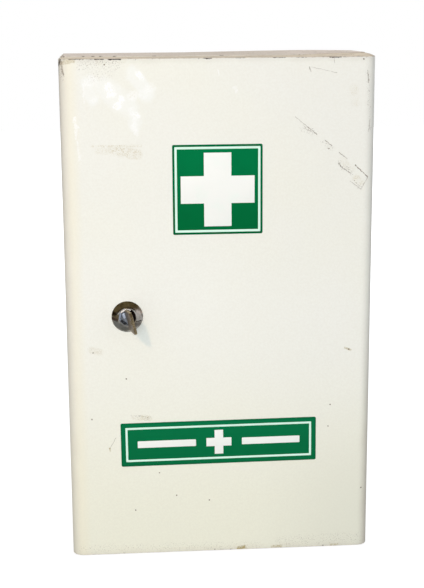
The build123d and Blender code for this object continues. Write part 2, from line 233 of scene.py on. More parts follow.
# Bands of fine dark dots
PEPPER = (
    Stroke((-126.0, 241.0), (-98.0, 241.0), 7.0, 0.6),
    Stroke((-118.0, 231.0), (-104.0, 235.0), 8.0, 0.4),
    Stroke((80.0, 180.0), (93.0, 174.0), 3.4, 0.8),
    Stroke((101.0, 167.0), (107.0, 161.0), 3.0, 0.7),
    Stroke((116.0, 146.0), (126.0, 136.5), 2.8, 1.0),
    Stroke((128.0, 128.5), (137.0, 121.5), 2.6, 0.7),
    Stroke((-86.0, -103.0), (-71.0, -104.6), 2.6, 0.9),
    Stroke((141.5, 236.0), (144.5, 178.0), 2.0, 0.5),
    Stroke((-148.5, 243.0), (-146.0, 228.0), 2.6, 0.9),
    Stroke((60.0, -240.0), (140.0, -238.0), 7.0, 0.4),
    Stroke((-140.0, -240.0), (40.0, -242.5), 4.5, 0.35),
)
# Bands rubbed into a pale brown stipple
STIPPLED = (
    Stroke((-120.0, 165.4), (-74.0, 165.4), 1.4, 0.6),
    Stroke((-114.0, 161.4), (-98.0, 161.4), 4.6, 0.5),
    Stroke((-97.0, 160.4), (-78.0, 157.4), 5.6, 0.9),
    Stroke((-86.0, -102.6), (-80.0, -104.2), 3.0, 0.4),
    Stroke((-78.0, -103.2), (-71.5, -104.4), 3.6, 0.7),
    Stroke((132.0, 131.0), (137.0, 127.0), 4.2, 0.6),
    Stroke((117.5, 149.0), (128.0, 140.0), 4.0, 0.3),
    Stroke((128.5, 217.0), (129.5, 203.0), 5.0, 0.3),
    Stroke((-112.0, 244.0), (-90.0, 245.0), 4.0, 0.3),
)
STAINS = (
    Stroke((-126.0, -33.0), (-118.0, -35.0), 4.0, 0.2),
    Stroke((124.0, -37.0), (129.5, -39.5), 1.2, 0.7),
    Stroke((-110.8, -134.5), (-110.4, -137.0), 1.0, 0.9),
    Stroke((18.0, -245.6), (23.5, -244.6), 2.8, 1.0),
    Stroke((51.5, -245.2), (61.0, -244.8), 1.7, 0.6),
    Stroke((112.5, -245.6), (119.0, -245.2), 1.5, 0.5),
    Stroke((-147.0, 243.0), (-136.0, 245.0), 2.4, 0.5),
)
# Painted glare at the upper left: soft pale clouds of painted sheen, then the small white painted glints in
# them
GLARE_CLOUDS = (
    Stroke((-108.0, 220.0), (-90.0, 205.0), 12.0, 0.3),
    Stroke((-80.0, 232.0), (-68.0, 214.0), 9.0, 0.35),
    Stroke((-124.0, 226.0), (-118.0, 208.0), 7.0, 0.3),
    Stroke((-84.0, 206.0), (-80.0, 186.0), 7.0, 0.3),
)
GLINTS = (
    Stroke((-104.0, 221.8), (-100.4, 214.2), 5.0, 0.9),
    Stroke((-96.0, 203.0), (-91.2, 210.4), 3.6, 0.85),
    Stroke((-75.4, 232.6), (-72.1, 229.6), 3.4, 0.85),
    Stroke((-72.0, 214.2), (-62.8, 220.2), 5.0, 0.3),
    Stroke((-82.0, 212.0), (-80.0, 212.4), 5.0, 0.4),
    Stroke((-121.0, 224.6), (-118.0, 226.6), 6.0, 0.35),
    Stroke((-118.0, 208.6), (-116.0, 209.6), 4.0, 0.3),
    Stroke((-82.0, 199.0), (-79.0, 178.0), 3.0, 0.4),
    Stroke((-135.5, 192.5), (-134.1, 176.4), 1.8, 0.55),
    Stroke((-134.1, 176.0), (-132.9, 152.9), 1.5, 0.4),
    Stroke((-126.0, 228.0), (-126.4, 206.0), 1.0, 0.4),
    Stroke((-79.5, 195.6), (-77.0, 193.5), 2.6, 0.7),
    Stroke((-0.3, 236.2), (0.8, 231.2), 1.0, 0.6),
    Stroke((14.6, 218.8), (17.0, 215.6), 1.4, 0.4),
)


def set_up(thing: object, **settings: object) -> None:
    """Sets several attributes of one of Blender's things.

    Args:
        thing: The node, modifier, curve or light.
        **settings: Its settings, by name.
    """
    for name, value in settings.items():
        setattr(thing, name, value)


class Graph:
    """A node tree, with short ways to add its nodes and to join them."""

    def __init__(self, tree: bpy.types.NodeTree) -> None:
        """Empties the tree.

        Args:
            tree: The tree of a material or a world.
        """
        self.tree = tree
        self.tree.nodes.clear()

    def node(self, kind: str, inputs: Inputs = (), **settings: object) -> bpy.types.Node:
        """Adds a node and feeds it.

        Args:
            kind: The node's type.
            inputs: Values for its inputs, by name or in order.
            **settings: Its settings, by name.

        Returns:
            The node.
        """
        node = self.tree.nodes.new(kind)
        set_up(node, **settings)
        self.feed(node, inputs)
        return node

    def feed(self, node: bpy.types.Node, inputs: Inputs) -> None:
        """Joins a node's inputs to other sockets, or sets them to constants.

        Args:
            node: The node.
            inputs: Output sockets, numbers or vectors, by name or in order.
        """
        for key, value in inputs.items() if isinstance(inputs, dict) else enumerate(inputs):
            if isinstance(value, bpy.types.NodeSocket):
                self.tree.links.new(value, node.inputs[key])
            else:
                node.inputs[key].default_value = value

    def number(self, operation: str, *values: Value) -> Socket:
        """Adds a math node.

        Args:
            operation: The node's operation.
            *values: Its inputs, in order.

        Returns:
            The result.
        """
        return self.node("ShaderNodeMath", values, operation=operation).outputs["Value"]

    def product(self, first: Value, *others: Value) -> Socket:
        """Multiplies numbers.

        Args:
            first: The first number.
            *others: The other numbers.

        Returns:
            Their product.
        """
        for other in others:
            first = self.number("MULTIPLY", first, other)
        return first

    def most(self, one: Value, other: Value) -> Socket:
        """Gives the larger of two numbers."""
        return self.number("MAXIMUM", one, other)

    def size(self, value: Value) -> Socket:
        """Gives a number without its sign."""
        return self.number("ABSOLUTE", value)


class Shading(Graph):
    """The node graph of one finish. Its places are millimetres of the row frame, and move with the piece."""

    # Where a stroke's edge fades, in widths, where a speck's does, in radii, and a place far from every speck
    STROKE_EDGE = (0.45, 1.15)
    SPOT_EDGE = (0.5, 1.2)
    FAR_AWAY = 100.0

    def __init__(self, name: str) -> None:
        """Starts a material with a principled shader.

        Args:
            name: The material's name.
        """
        self.material = bpy.data.materials.new(name)
        self.material.use_nodes = True
        super().__init__(self.material.node_tree)
        self.shader = self.node("ShaderNodeBsdfPrincipled")
        self.node("ShaderNodeOutputMaterial", {"Surface": self.shader.outputs["BSDF"]})
        coordinates = self.node("ShaderNodeTexCoord")
        self.normal = coordinates.outputs["Normal"]
        self.place = self.vector("MULTIPLY", coordinates.outputs["Object"], (1 / MM, 1 / MM, 1 / MM))

    def vector(self, operation: str, *values: Value) -> Socket:
        """Adds a vector math node.

        Args:
            operation: The node's operation.
            *values: Its inputs, in order.

        Returns:
            The result, a number where the operation gives one.
        """
        inputs = {"Vector": values[0], "Scale": values[1]} if operation == "SCALE" else values
        node = self.node("ShaderNodeVectorMath", inputs, operation=operation)
        gives_number = operation in ("LENGTH", "DOT_PRODUCT", "DISTANCE")
        return node.outputs["Value" if gives_number else "Vector"]

    def axes(self, place: Socket) -> tuple[Socket, ...]:
        """Splits a place or direction into its x, y and z."""
        return tuple(self.node("ShaderNodeSeparateXYZ", [place]).outputs)

    def flat(self, across: Value, up: Value) -> Socket:
        """Gives the place with an x and a z, and with y at 0."""
        return self.node("ShaderNodeCombineXYZ", {"X": across, "Z": up}).outputs["Vector"]

    def noise(self, place: Socket, scale: float, detail: float, spread: float = 0.5) -> bpy.types.Node:
        """Adds noise.

        Args:
            place: Where it is read.
            scale: Number of its largest features in a millimetre.
            detail: Number of finer layers.
            spread: Strength of each finer layer.

        Returns:
            The noise's node.
        """
        inputs = {"Vector": place, "Scale": scale, "Detail": detail, "Roughness": spread}
        return self.node("ShaderNodeTexNoise", inputs)

    def front(self, shake: float = 0.0, size: float = 1.0, detail: float = 2.0) -> Socket:
        """Gives the place as seen from the front, with y at 0, moved about by noise.

        Args:
            shake: How far a place may move to each side.
            size: Size of the noise's largest features.
            detail: Number of its finer layers.

        Returns:
            The place.
        """
        seen = (1, 0, 1)
        if not shake:
            return self.vector("MULTIPLY", self.place, seen)
        cloud = self.noise(self.place, 1 / size, detail).outputs["Color"]
        offset = self.vector("MULTIPLY_ADD", cloud, (2 * shake, 0, 2 * shake), (-shake, 0, -shake))
        return self.vector("MULTIPLY_ADD", self.place, seen, offset)

    def grain(self, size: float, detail: float = 2.0, spread: float = 0.5, run: Point3 = (1, 1, 1)) -> Socket:
        """Adds noise whose features have a size in millimetres.

        Args:
            size: Size of the largest features.
            detail: Number of finer layers.
            spread: Strength of each finer layer.
            run: How many times longer the features are along each axis.

        Returns:
            The noise, about 0 to 1, with 0.5 as its middle.
        """
        scaled = self.vector("DIVIDE", self.place, tuple(size * share for share in run))
        return self.noise(scaled, 1.0, detail, spread).outputs["Fac"]

    def ramp(
        self, value: Value, low: Value, high: Value, start: Value = 0.0, end: Value = 1.0
    ) -> Socket:
        """Maps a number between two limits to a smooth share.

        Args:
            value: The number.
            low: The limit that gives start.
            high: The limit that gives end.
            start: Result at and before low.
            end: Result at and after high.

        Returns:
            The mapped number.
        """
        inputs = (value, low, high, start, end)
        node = self.node("ShaderNodeMapRange", inputs, interpolation_type="SMOOTHSTEP", clamp=False)
        return node.outputs["Result"]

    def mottle(self, size: float, detail: float, run: Run, spread: float = 0.5) -> Socket:
        """Gives patches of noise with soft edges.

        Args:
            size: Size of the largest patches.
            detail: Number of finer layers.
            run: The smooth step that turns the noise into a share.
            spread: Strength of each finer layer.

        Returns:
            The share.
        """
        return self.ramp(self.grain(size, detail, spread), *run)

    def tint(self, share: Value, under: Value, over: Value) -> Socket:
        """Lays one colour over another.

        Args:
            share: How much of the upper colour shows, 0 to 1.
            under: The lower colour.
            over: The upper colour.

        Returns:
            The mixed colour.
        """
        node = self.node("ShaderNodeMix", data_type="RGBA", clamp_factor=True)
        first, second = (index for index, socket in enumerate(node.inputs) if socket.type == "RGBA")
        self.feed(node, {0: share, first: under, second: over})
        return next(socket for socket in node.outputs if socket.type == "RGBA")

    def layers(self, colour: Value, *coats: tuple[Value, Value]) -> Value:
        """Lays several colours over one, in order.

        Args:
            colour: The lowest colour.
            *coats: The share and the colour of each coat.

        Returns:
            The mixed colour.
        """
        for share, over in coats:
            colour = self.tint(share, colour, over)
        return colour

    def strokes(self, place: Socket, marks: Iterable[Stroke]) -> Value:
        """Gives the mask of strokes.

        Args:
            place: The place, with its y at 0.
            marks: The strokes.

        Returns:
            0 off the strokes, and each stroke's strength on it.
        """
        mask: Value = 0.0
        full, none = self.STROKE_EDGE
        for mark in marks:
            run = Vector((mark.end[0] - mark.start[0], 0, mark.end[1] - mark.start[1]))
            offset = self.vector("SUBTRACT", place, (mark.start[0], 0, mark.start[1]))
            along = self.vector("DOT_PRODUCT", offset, tuple(run / run.length_squared))
            share = self.most(self.number("MINIMUM", along, 1.0), 0.0)
            away = self.vector("DISTANCE", offset, self.vector("SCALE", tuple(run), share))
            mask = self.most(mask, self.ramp(away, mark.width * full, mark.width * none, mark.strength, 0.0))
        return mask

    def spots(self, place: Socket, centres: Iterable[Point2], radius: float) -> Socket:
        """Gives the mask of round specks.

        Args:
            place: The place, with its y at 0.
            centres: The specks' x and z.
            radius: The radius of each speck.

        Returns:
            0 off the specks and 1 on them.
        """
        nearest: Value = self.FAR_AWAY
        for across, up in centres:
            nearest = self.number("MINIMUM", nearest, self.vector("DISTANCE", place, (across, 0, up)))
        full, none = self.SPOT_EDGE
        return self.ramp(nearest, radius * full, radius * none, 1.0, 0.0)

    def relief(self, height: Value, depth: float, strength: float) -> None:
        """Adds bump to the shader.

        Args:
            height: The height, 0 to 1.
            depth: Millimetres of height that 1 stands for.
            strength: Strength of the bump.
        """
        inputs = {"Distance": depth * MM, "Strength": strength, "Height": height}
        self.feed(self.shader, {"Normal": self.node("ShaderNodeBump", inputs).outputs["Normal"]})

    def finish(self, **inputs: Value) -> bpy.types.Material:
        """Feeds the shader's inputs.

        Args:
            **inputs: Values by input name, with _ for a space.

        Returns:
            The material.
        """
        self.feed(self.shader, {name.replace("_", " "): value for name, value in inputs.items()})
        return self.material


@dataclass(frozen=True)
class Enamel:
    """Aged gloss enamel on sheet steel, unevenly yellowed, with grime at its ends, dust on level faces, and
    painted shade on its bends, towards its top and at its lower right.
    """

    name: str
    clean: Colour = srgb(243, 242, 234)
    cool: Colour = srgb(240, 239, 232)
    yellowed: Colour = srgb(240, 238, 218)
    # Painted shade towards the top of the face
    faded_and_top_shade: Colour = srgb(231, 230, 222)
    warmed: Colour = srgb(240, 232, 206)
    # Painted shade at the lower right of the face
    lower_right_shade: Colour = srgb(220, 219, 205)
    # Painted shade on the bends, also the darker tone of the fine grain
    side_shade_and_grain: Colour = srgb(207, 198, 183)
    dusty: Colour = srgb(210, 200, 188)
    thick_dust: Colour = srgb(178, 168, 150)
    grime: Colour = srgb(150, 128, 106)
    rust: Colour = srgb(48, 32, 22)
    scratch: Colour = srgb(104, 84, 64)
    stain: Colour = srgb(168, 148, 92)
    stipple: Colour = srgb(196, 184, 150)
    # Painted glare and painted glints at the upper left of the door's face
    bloom_and_glare: Colour = srgb(248, 250, 250)
    glint: Colour = srgb(255, 255, 255)
    half_height: float = DOOR_HALF_HEIGHT
    cool_run: Run = (-40, 110)
    yellow_run: Run = (20, -235, 0.0, 0.8)
    # Where the painted shade towards the top starts and ends, and its strength
    top_shade_run: Run = (-10, 130, 0.0, 0.35)
    clouded: Patchy = (130, 2, (0.35, 0.8, 0.0, 0.25))
    grainy: Patchy = (2.2, 4, (0.35, 0.65, 0.0, 0.1), 0.7)
    warm_side: Run = (-129, -141)
    warm_rim: Run = (-149, -141, 0.1, 0.42)
    # Where the painted shade at the lower right runs, and its strength
    lower_right_shade_across: Run = (20, 140)
    lower_right_shade_down: Run = (-60, -210)
    lower_right_shade_share: float = 0.5
    # Painted shade on the bends: its strength on the left and down the right, where it starts across, and how
    # far noise moves it
    shade_down: Run = (40, -200, 0.32, 0.9)
    shade_across: Run = (-100, 100, 0.45)
    shade_side: Run = (141, 153)
    shade_shake: float = 5
    end_line: Run = (0.0, 0.9, 0.0, 0.75)
    end_line_shake: float = 1.3
    end_soil: Run = (-3, 8, 0.0, 0.2)
    end_soil_shake: float = 8
    end_chips: Run = (-2.5, 0.2)
    chip_size: Run = (0.66, 0.74)
    blotches: Grain = (24, 4)
    fine_specks: Grain = (2.6, 3)
    level: Run = (0.55, 0.95, 0.0)
    dust: float = 0.3
    soiled: Patchy = (18, 6, (0.4, 0.75, 0.0, 0.3), 0.65)
    dust_middle: Run = (100, 30, 0.0, 0.26)
    worn_face: bool = False
    plan_marks: tuple[Stroke, ...] = ()
    plan_scale: float = 0.3
    plan_breaks: Patchy = (3.2, 5, (0.38, 0.52, 0.1, 1.0), 0.7)
    plan_upper: Run = (-2.5, -0.8)
    speck_radius: float = 0.75
    chip_breaks: Run = (0.4, 0.8, 0.6, 1.0)
    face_shake: Shake = (0.9, 2.2, 3)
    loose_shake: Shake = (4.5, 7, 4)
    crumbs: Patchy = (1.3, 3, (0.3, 0.62))
    dotted: Patchy = (0.7, 2, (0.46, 0.6), 0.7)
    dot_groups: Patchy = (4.5, 2, (0.35, 0.6, 0.3, 1.0))
    dots: Patchy = (1.2, 2, (0.555, 0.66), 0.7)
    gaps: Patchy = (1.6, 3, (0.38, 0.52, 0.45, 1.0))
    facing: Run = (-0.05, -0.25)
    face_depth: Run = (-134, -138)
    sheen: Patchy = (9, 3, (0.3, 0.7, 0.28, 0.33))
    dull_roughness: float = 0.45
    gloss: float = 0.4
    peel: Grain = (3.2, 2)
    peel_depth: float = 0.05
    peel_strength: float = 0.35

    def material(self) -> bpy.types.Material:
        """Makes the enamel's material.

        Returns:
            The material.
        """
        nodes = Shading(self.name)
        depth, height = nodes.axes(nodes.place)[1:]
        beyond = nodes.number("SUBTRACT", nodes.size(height), self.half_height)
        speck = nodes.grain(*self.fine_specks)
        settled = nodes.ramp(nodes.axes(nodes.normal)[2], *self.level, self.dust)
        colour = self.dusted(nodes, settled, self.aged(nodes, beyond, speck))
        worn = nodes.product(nodes.ramp(speck, *self.chip_size), nodes.ramp(beyond, *self.end_chips))
        if self.worn_face:
            colour, worn = self.wear(nodes, colour, worn)
        if self.plan_marks:
            plan = nodes.flat(nodes.axes(nodes.place)[0], nodes.product(depth, self.plan_scale))
            broken = nodes.mottle(*self.plan_breaks)
            upper = nodes.ramp(beyond, *self.plan_upper)
            worn = nodes.most(worn, nodes.product(nodes.strokes(plan, self.plan_marks), broken, upper))
        colour = nodes.tint(worn, colour, self.rust)
        dull = nodes.most(worn, settled)
        roughness = nodes.number("MULTIPLY_ADD", dull, self.dull_roughness, nodes.mottle(*self.sheen))
        nodes.relief(nodes.grain(*self.peel), self.peel_depth, self.peel_strength)
        return nodes.finish(Base_Color=colour, Roughness=roughness, Specular_IOR_Level=self.gloss)

    def aged(self, nodes: Shading, beyond: Socket, speck: Socket) -> Value:
        """Colours the enamel as it has yellowed and gathered grime at its ends, with painted shade towards
        its top, at its lower right and on its bends.

        Args:
            nodes: The graph of the finish.
            beyond: How far a place is past the sheet's upper or lower end.
            speck: Fine noise.

        Returns:
            The colour.
        """
        across, _, height = nodes.axes(nodes.place)
        blotch = nodes.grain(*self.blotches)
        aside = nodes.number("MULTIPLY_ADD", blotch, self.shade_shake, nodes.size(across))
        side_share = nodes.ramp(across, *self.shade_across, nodes.ramp(height, *self.shade_down))
        past_line = nodes.number("MULTIPLY_ADD", speck, self.end_line_shake, beyond)
        past_soil = nodes.number("MULTIPLY_ADD", blotch, self.end_soil_shake, beyond)
        ends = nodes.most(nodes.ramp(past_line, *self.end_line), nodes.ramp(past_soil, *self.end_soil))
        # Painted shade at the lower right
        low_right_shade = nodes.product(
            nodes.ramp(across, *self.lower_right_shade_across), nodes.ramp(height, *self.lower_right_shade_down), self.lower_right_shade_share
        )
        warm_band = nodes.product(nodes.ramp(across, *self.warm_side), nodes.ramp(across, *self.warm_rim))
        return nodes.layers(
            self.clean,
            (nodes.ramp(across, *self.cool_run), self.cool),
            (nodes.ramp(height, *self.yellow_run), self.yellowed),
            # Painted shade towards the top
            (nodes.ramp(height, *self.top_shade_run), self.faded_and_top_shade),
            (nodes.mottle(*self.clouded), self.yellowed),
            (nodes.mottle(*self.grainy), self.side_shade_and_grain),
            (warm_band, self.warmed),
            # Painted shade at the lower right
            (low_right_shade, self.lower_right_shade),
            # Painted shade on the bends
            (nodes.product(nodes.ramp(aside, *self.shade_side), side_share), self.side_shade_and_grain),
            (ends, self.grime),
        )

    def dusted(self, nodes: Shading, settled: Socket, colour: Value) -> Socket:
        """Lays dust on level faces, thicker at the cabinet's middle.

        Args:
            nodes: The graph of the finish.
            settled: The share of dust by how level the face is.
            colour: The enamel's colour so far.

        Returns:
            The colour with the dust.
        """
        middle = nodes.ramp(nodes.size(nodes.axes(nodes.place)[0]), *self.dust_middle)
        soiled = nodes.mottle(*self.soiled)
        dust = nodes.layers(self.dusty, (soiled, self.grime), (middle, self.thick_dust))
        return nodes.tint(settled, colour, dust)

    def wear(self, nodes: Shading, colour: Value, worn: Value) -> tuple[Socket, Socket]:
        """Adds the strokes, specks and stains of the door's face, and the painted glare and glints at its
        upper left.

        Args:
            nodes: The graph of the finish.
            colour: The enamel's colour so far.
            worn: The mask of bare rusty metal so far.

        Returns:
            The colour and the mask with the wear.
        """
        plain, face, loose = nodes.front(), nodes.front(*self.face_shake), nodes.front(*self.loose_shake)
        crumbs = nodes.mottle(*self.crumbs)
        dotted = nodes.product(nodes.mottle(*self.dotted), nodes.mottle(*self.dot_groups))
        dots, gaps = nodes.mottle(*self.dots), nodes.mottle(*self.gaps)
        specks = nodes.spots(face, SPECKS, self.speck_radius)
        marked = nodes.layers(
            colour,
            # Painted glare and painted glints at the upper left
            (nodes.strokes(loose, GLARE_CLOUDS), self.bloom_and_glare),
            (nodes.product(nodes.strokes(loose, GLINTS), crumbs), self.glint),
            (nodes.product(nodes.strokes(plain, STIPPLED), dotted), self.stipple),
            (nodes.product(nodes.strokes(face, STAINS), crumbs), self.stain),
            (nodes.product(nodes.strokes(loose, PEPPER), dots), self.scratch),
            (nodes.most(nodes.product(nodes.strokes(face, SCRATCHES), gaps), specks), self.scratch),
        )
        chipped = nodes.product(nodes.strokes(face, CHIPPED_EDGE), nodes.ramp(gaps, *self.chip_breaks))
        facing = nodes.ramp(nodes.axes(nodes.normal)[1], *self.facing)
        outside = nodes.product(facing, nodes.ramp(nodes.axes(nodes.place)[1], *self.face_depth))
        return nodes.tint(outside, colour, marked), nodes.most(worn, nodes.product(chipped, outside))


@dataclass(frozen=True)
class Vinyl:
    """Adhesive film with patches of fading, and a band of another tone along its edges."""

    name: str
    colour: Colour
    low_colour: Colour
    edge_colour: Colour
    edge_share: float
    middle: Point2
    size: Point2
    edge_width: float = 2.0
    edge_softness: float = 0.5
    faded_and_top_shade: Patchy = (14, 4, (0.45, 0.8))
    fade: float = 0.14
    sheen: Patchy = (5, 3, (0.3, 0.7, 0.29, 0.44))
    weave: Grain = (1.1, 3)
    weave_depth: float = 0.012
    weave_strength: float = 0.3
    gloss: float = 0.12

    def material(self) -> bpy.types.Material:
        """Makes the film's material.

        Returns:
            The material.
        """
        nodes = Shading(self.name)
        middle = (self.middle[0], 0, self.middle[1])
        across, _, height = nodes.axes(nodes.vector("SUBTRACT", nodes.place, middle))
        reach_x, reach_z = self.size[0] / 2, self.size[1] / 2
        rim = nodes.number(
            "MINIMUM",
            nodes.number("SUBTRACT", reach_x, nodes.size(across)),
            nodes.number("SUBTRACT", reach_z, nodes.size(height)),
        )
        at_rim = nodes.ramp(rim, self.edge_width, self.edge_width + self.edge_softness, self.edge_share, 0.0)
        colour = nodes.layers(
            self.colour,
            (nodes.ramp(height, reach_z, -reach_z), self.low_colour),
            (nodes.product(nodes.mottle(*self.faded_and_top_shade), self.fade), self.edge_colour),
            (at_rim, self.edge_colour),
        )
        nodes.relief(nodes.grain(*self.weave), self.weave_depth, self.weave_strength)
        sheen = nodes.mottle(*self.sheen)
        return nodes.finish(Base_Color=colour, Roughness=sheen, Specular_IOR_Level=self.gloss)


@dataclass(frozen=True)
class PaintedLight:
    """Strokes of painted light on the lock as seen from the front: painted reflections, highlights and the
    key's shadow, matt where they aren't bare metal.
    """

    strokes: tuple[Stroke, ...]
    colour: Colour
    matt: bool = False


@dataclass(frozen=True)
class PlatedMetal:
    """Plated or bare metal with tarnish, fine scratches and dirt, with painted reflections, highlights and
    shadows on the lock and painted shade on the key's flat sides.
    """

    name: str
    bright: Colour
    tarnished: Colour
    dirt: Colour = srgb(46, 38, 30)
    tarnish: float = 0.4
    dirt_share: float = 0.25
    grain_size: float = 4.0
    scratch_run: Point3 = (1, 1, 8)
    roughness: float = 0.25
    scratch_depth: float = 0.01
    metallic: float = 1.0
    # Painted reflections, highlights and shadows laid over the lock's metal
    patches: tuple[PaintedLight, ...] = ()
    # The normal of a flat sheet, whose two flat sides get painted shade
    sheet_side: Point3 | None = None
    side_shade_colour: Colour = srgb(104, 88, 76)
    side_shade_run: Run = (0.6, 0.9, 0.0, 0.8)
    tarnish_run: Run = (0.35, 0.68, 0.0)
    dirt_run: Run = (0.55, 0.75, 0.0)
    dirt_size: float = 0.6
    polish: float = 0.06
    cloud_roughness: float = 0.16

    def material(self) -> bpy.types.Material:
        """Makes the metal's material.

        Returns:
            The material.
        """
        nodes = Shading(self.name)
        cloud = nodes.grain(self.grain_size, 4)
        scratches = nodes.grain(0.35, 3, run=self.scratch_run)
        colour = nodes.layers(
            self.bright,
            (nodes.ramp(cloud, *self.tarnish_run, self.tarnish), self.tarnished),
            (nodes.mottle(self.grain_size * self.dirt_size, 5, (*self.dirt_run, self.dirt_share)), self.dirt),
        )
        # Painted shade on the sheet's two flat sides, darker than its edges
        if self.sheet_side:
            facing = nodes.vector("DOT_PRODUCT", nodes.normal, self.sheet_side)
            colour = nodes.tint(nodes.ramp(nodes.size(facing), *self.side_shade_run), colour, self.side_shade_colour)
        metal: Value = self.metallic
        front = nodes.front(1.0, 1.6, 3) if self.patches else None
        # Painted reflections, highlights and shadows, each laid over the metal
        for painted_mark in self.patches:
            share = nodes.strokes(front, painted_mark.strokes)
            colour = nodes.tint(share, colour, painted_mark.colour)
            if painted_mark.matt:
                metal = nodes.most(nodes.number("SUBTRACT", metal, share), 0.0)
        polished = nodes.ramp(scratches, 0.3, 0.7, self.roughness - self.polish, self.roughness)
        roughness = nodes.number("ADD", polished, nodes.product(cloud, self.cloud_roughness))
        nodes.relief(scratches, self.scratch_depth, 0.4)
        return nodes.finish(Base_Color=colour, Roughness=roughness, Metallic=metal)


@dataclass(frozen=True)
class Rubber:
    """Matt dark rubber of the door's buffers."""

    name: str
    colour: Colour = srgb(52, 50, 48)
    bloom_and_glare: Colour = srgb(96, 92, 88)
    roughness: float = 0.75

    def material(self) -> bpy.types.Material:
        """Makes the rubber's material.

        Returns:
            The material.
        """
        nodes = Shading(self.name)
        colour = nodes.tint(nodes.mottle(1.5, 4, (0.45, 0.8, 0.0, 0.7)), self.colour, self.bloom_and_glare)
        nodes.relief(nodes.grain(0.4, 2), 0.02, 0.4)
        return nodes.finish(Base_Color=colour, Roughness=self.roughness)


Finish = Enamel | Vinyl | PlatedMetal | Rubber

SIGN_MIDDLE = (-1.8, 122.6)
LABEL_MIDDLE = (-2.0, -130.7)
SIGN_SIZE = (86.3, 86.3)
LABEL_SIZE = (195.0, 45.0)
PRINT = (srgb(243, 243, 238), srgb(243, 243, 238), srgb(212, 248, 230), 0.85)
SIGN_GREEN = (srgb(0, 116, 66), srgb(0, 102, 54), srgb(8, 84, 50), 0.5)
LABEL_GREEN = (srgb(2, 112, 67), srgb(2, 106, 62), srgb(8, 88, 54), 0.4)
SIGN_PRINT = Vinyl("sign_print", *PRINT, SIGN_MIDDLE, SIGN_SIZE, 4.8, gloss=0.22)
LABEL_PRINT = Vinyl("label_print", *PRINT, LABEL_MIDDLE, LABEL_SIZE, 7.6, gloss=0.22)
SIGN_FILM = Vinyl("sign_film", *SIGN_GREEN, SIGN_MIDDLE, SIGN_SIZE, gloss=0.03)
LABEL_FILM = Vinyl("label_film", *LABEL_GREEN, LABEL_MIDDLE, LABEL_SIZE, 1.4, gloss=0.07)
CASE_TOP = Enamel(
    "case_top_enamel", half_height=CASE_HALF_HEIGHT, dusty=srgb(220, 208, 196), dust=0.95,
    plan_marks=TOP_SPOTS, plan_scale=0.4, gloss=0.1,
)
DOOR_TOP = Enamel(
    "door_top_enamel", dusty=srgb(222, 208, 186), dust=0.95, soiled=(18, 6, (0.4, 0.75, 0.0, 0.45), 0.65),
    plan_marks=TOP_EDGE, gloss=0.1,
)
# Painted light on the barrel's rim: the key's painted shadow at the right, a pale blue painted highlight at
# the left, a dark painted reflection at the lower left and a bright painted highlight along the top
RIM_PAINTED_LIGHT = (
    PaintedLight(
        (Stroke((-88.0, 7.6), (-83.6, 3.4), 1.5), Stroke((-83.6, 3.4), (-83.5, -4.2), 1.7)),
        srgb(38, 28, 22),
    ),
    PaintedLight((Stroke((-97.2, 4.0), (-98.2, -1.5), 1.3, 0.8),), srgb(150, 160, 180), True),
    PaintedLight((Stroke((-96.8, -3.4), (-93.0, -6.6), 0.7, 0.8),), srgb(38, 42, 46)),
    PaintedLight(
        (Stroke((-96.6, 5.6), (-92.8, 7.9), 0.9), Stroke((-92.8, 7.9), (-87.4, 7.8), 0.8)),
        srgb(240, 232, 226),
        True,
    ),
)
# Painted light on the plug's face: the key's painted shadow right of the keyway, a pale blue painted
# highlight at the left and a dark painted reflection at the lower left
PLUG_PAINTED_LIGHT = (
    PaintedLight(
        (Stroke((-87.6, 5.4), (-85.4, 2.4), 1.6), Stroke((-85.4, 2.4), (-85.4, -4.0), 2.2)),
        srgb(34, 26, 22),
    ),
    PaintedLight((Stroke((-94.6, 3.8), (-93.4, 0.6), 1.6, 0.75),), srgb(196, 206, 224), True),
    PaintedLight((Stroke((-95.6, -2.6), (-91.6, -5.4), 1.0, 0.85),), srgb(34, 36, 40)),
)
# Painted reflections on the rosette's dome: olive and brown at the left, grey at the lower left, a pale matt
# one at the right and a dark hook at the lower right
DOME_PAINTED_LIGHT = (
    PaintedLight((Stroke((-104.2, 3.0), (-100.2, 0.4), 2.9, 0.9),), srgb(112, 96, 66)),
    PaintedLight((Stroke((-104.8, -1.4), (-101.0, -2.8), 2.0, 0.9),), srgb(72, 46, 30)),
    PaintedLight((Stroke((-101.6, -6.6), (-93.0, -12.0), 4.2, 0.75),), srgb(118, 120, 116)),
    PaintedLight((Stroke((-80.8, 4.2), (-78.4, -1.2), 3.4, 0.5),), srgb(186, 182, 178), True),
    PaintedLight(
        (Stroke((-82.0, -4.4), (-77.4, -4.0), 0.8, 0.9), Stroke((-83.0, -8.0), (-79.4, -7.0), 2.6, 0.6)),
        srgb(62, 54, 46),
    ),
)
BARREL = PlatedMetal(
    "barrel_finish", srgb(150, 152, 156), srgb(92, 94, 96), tarnish=0.8, dirt_share=0.5, grain_size=2.6,
    roughness=0.2, patches=RIM_PAINTED_LIGHT,
)
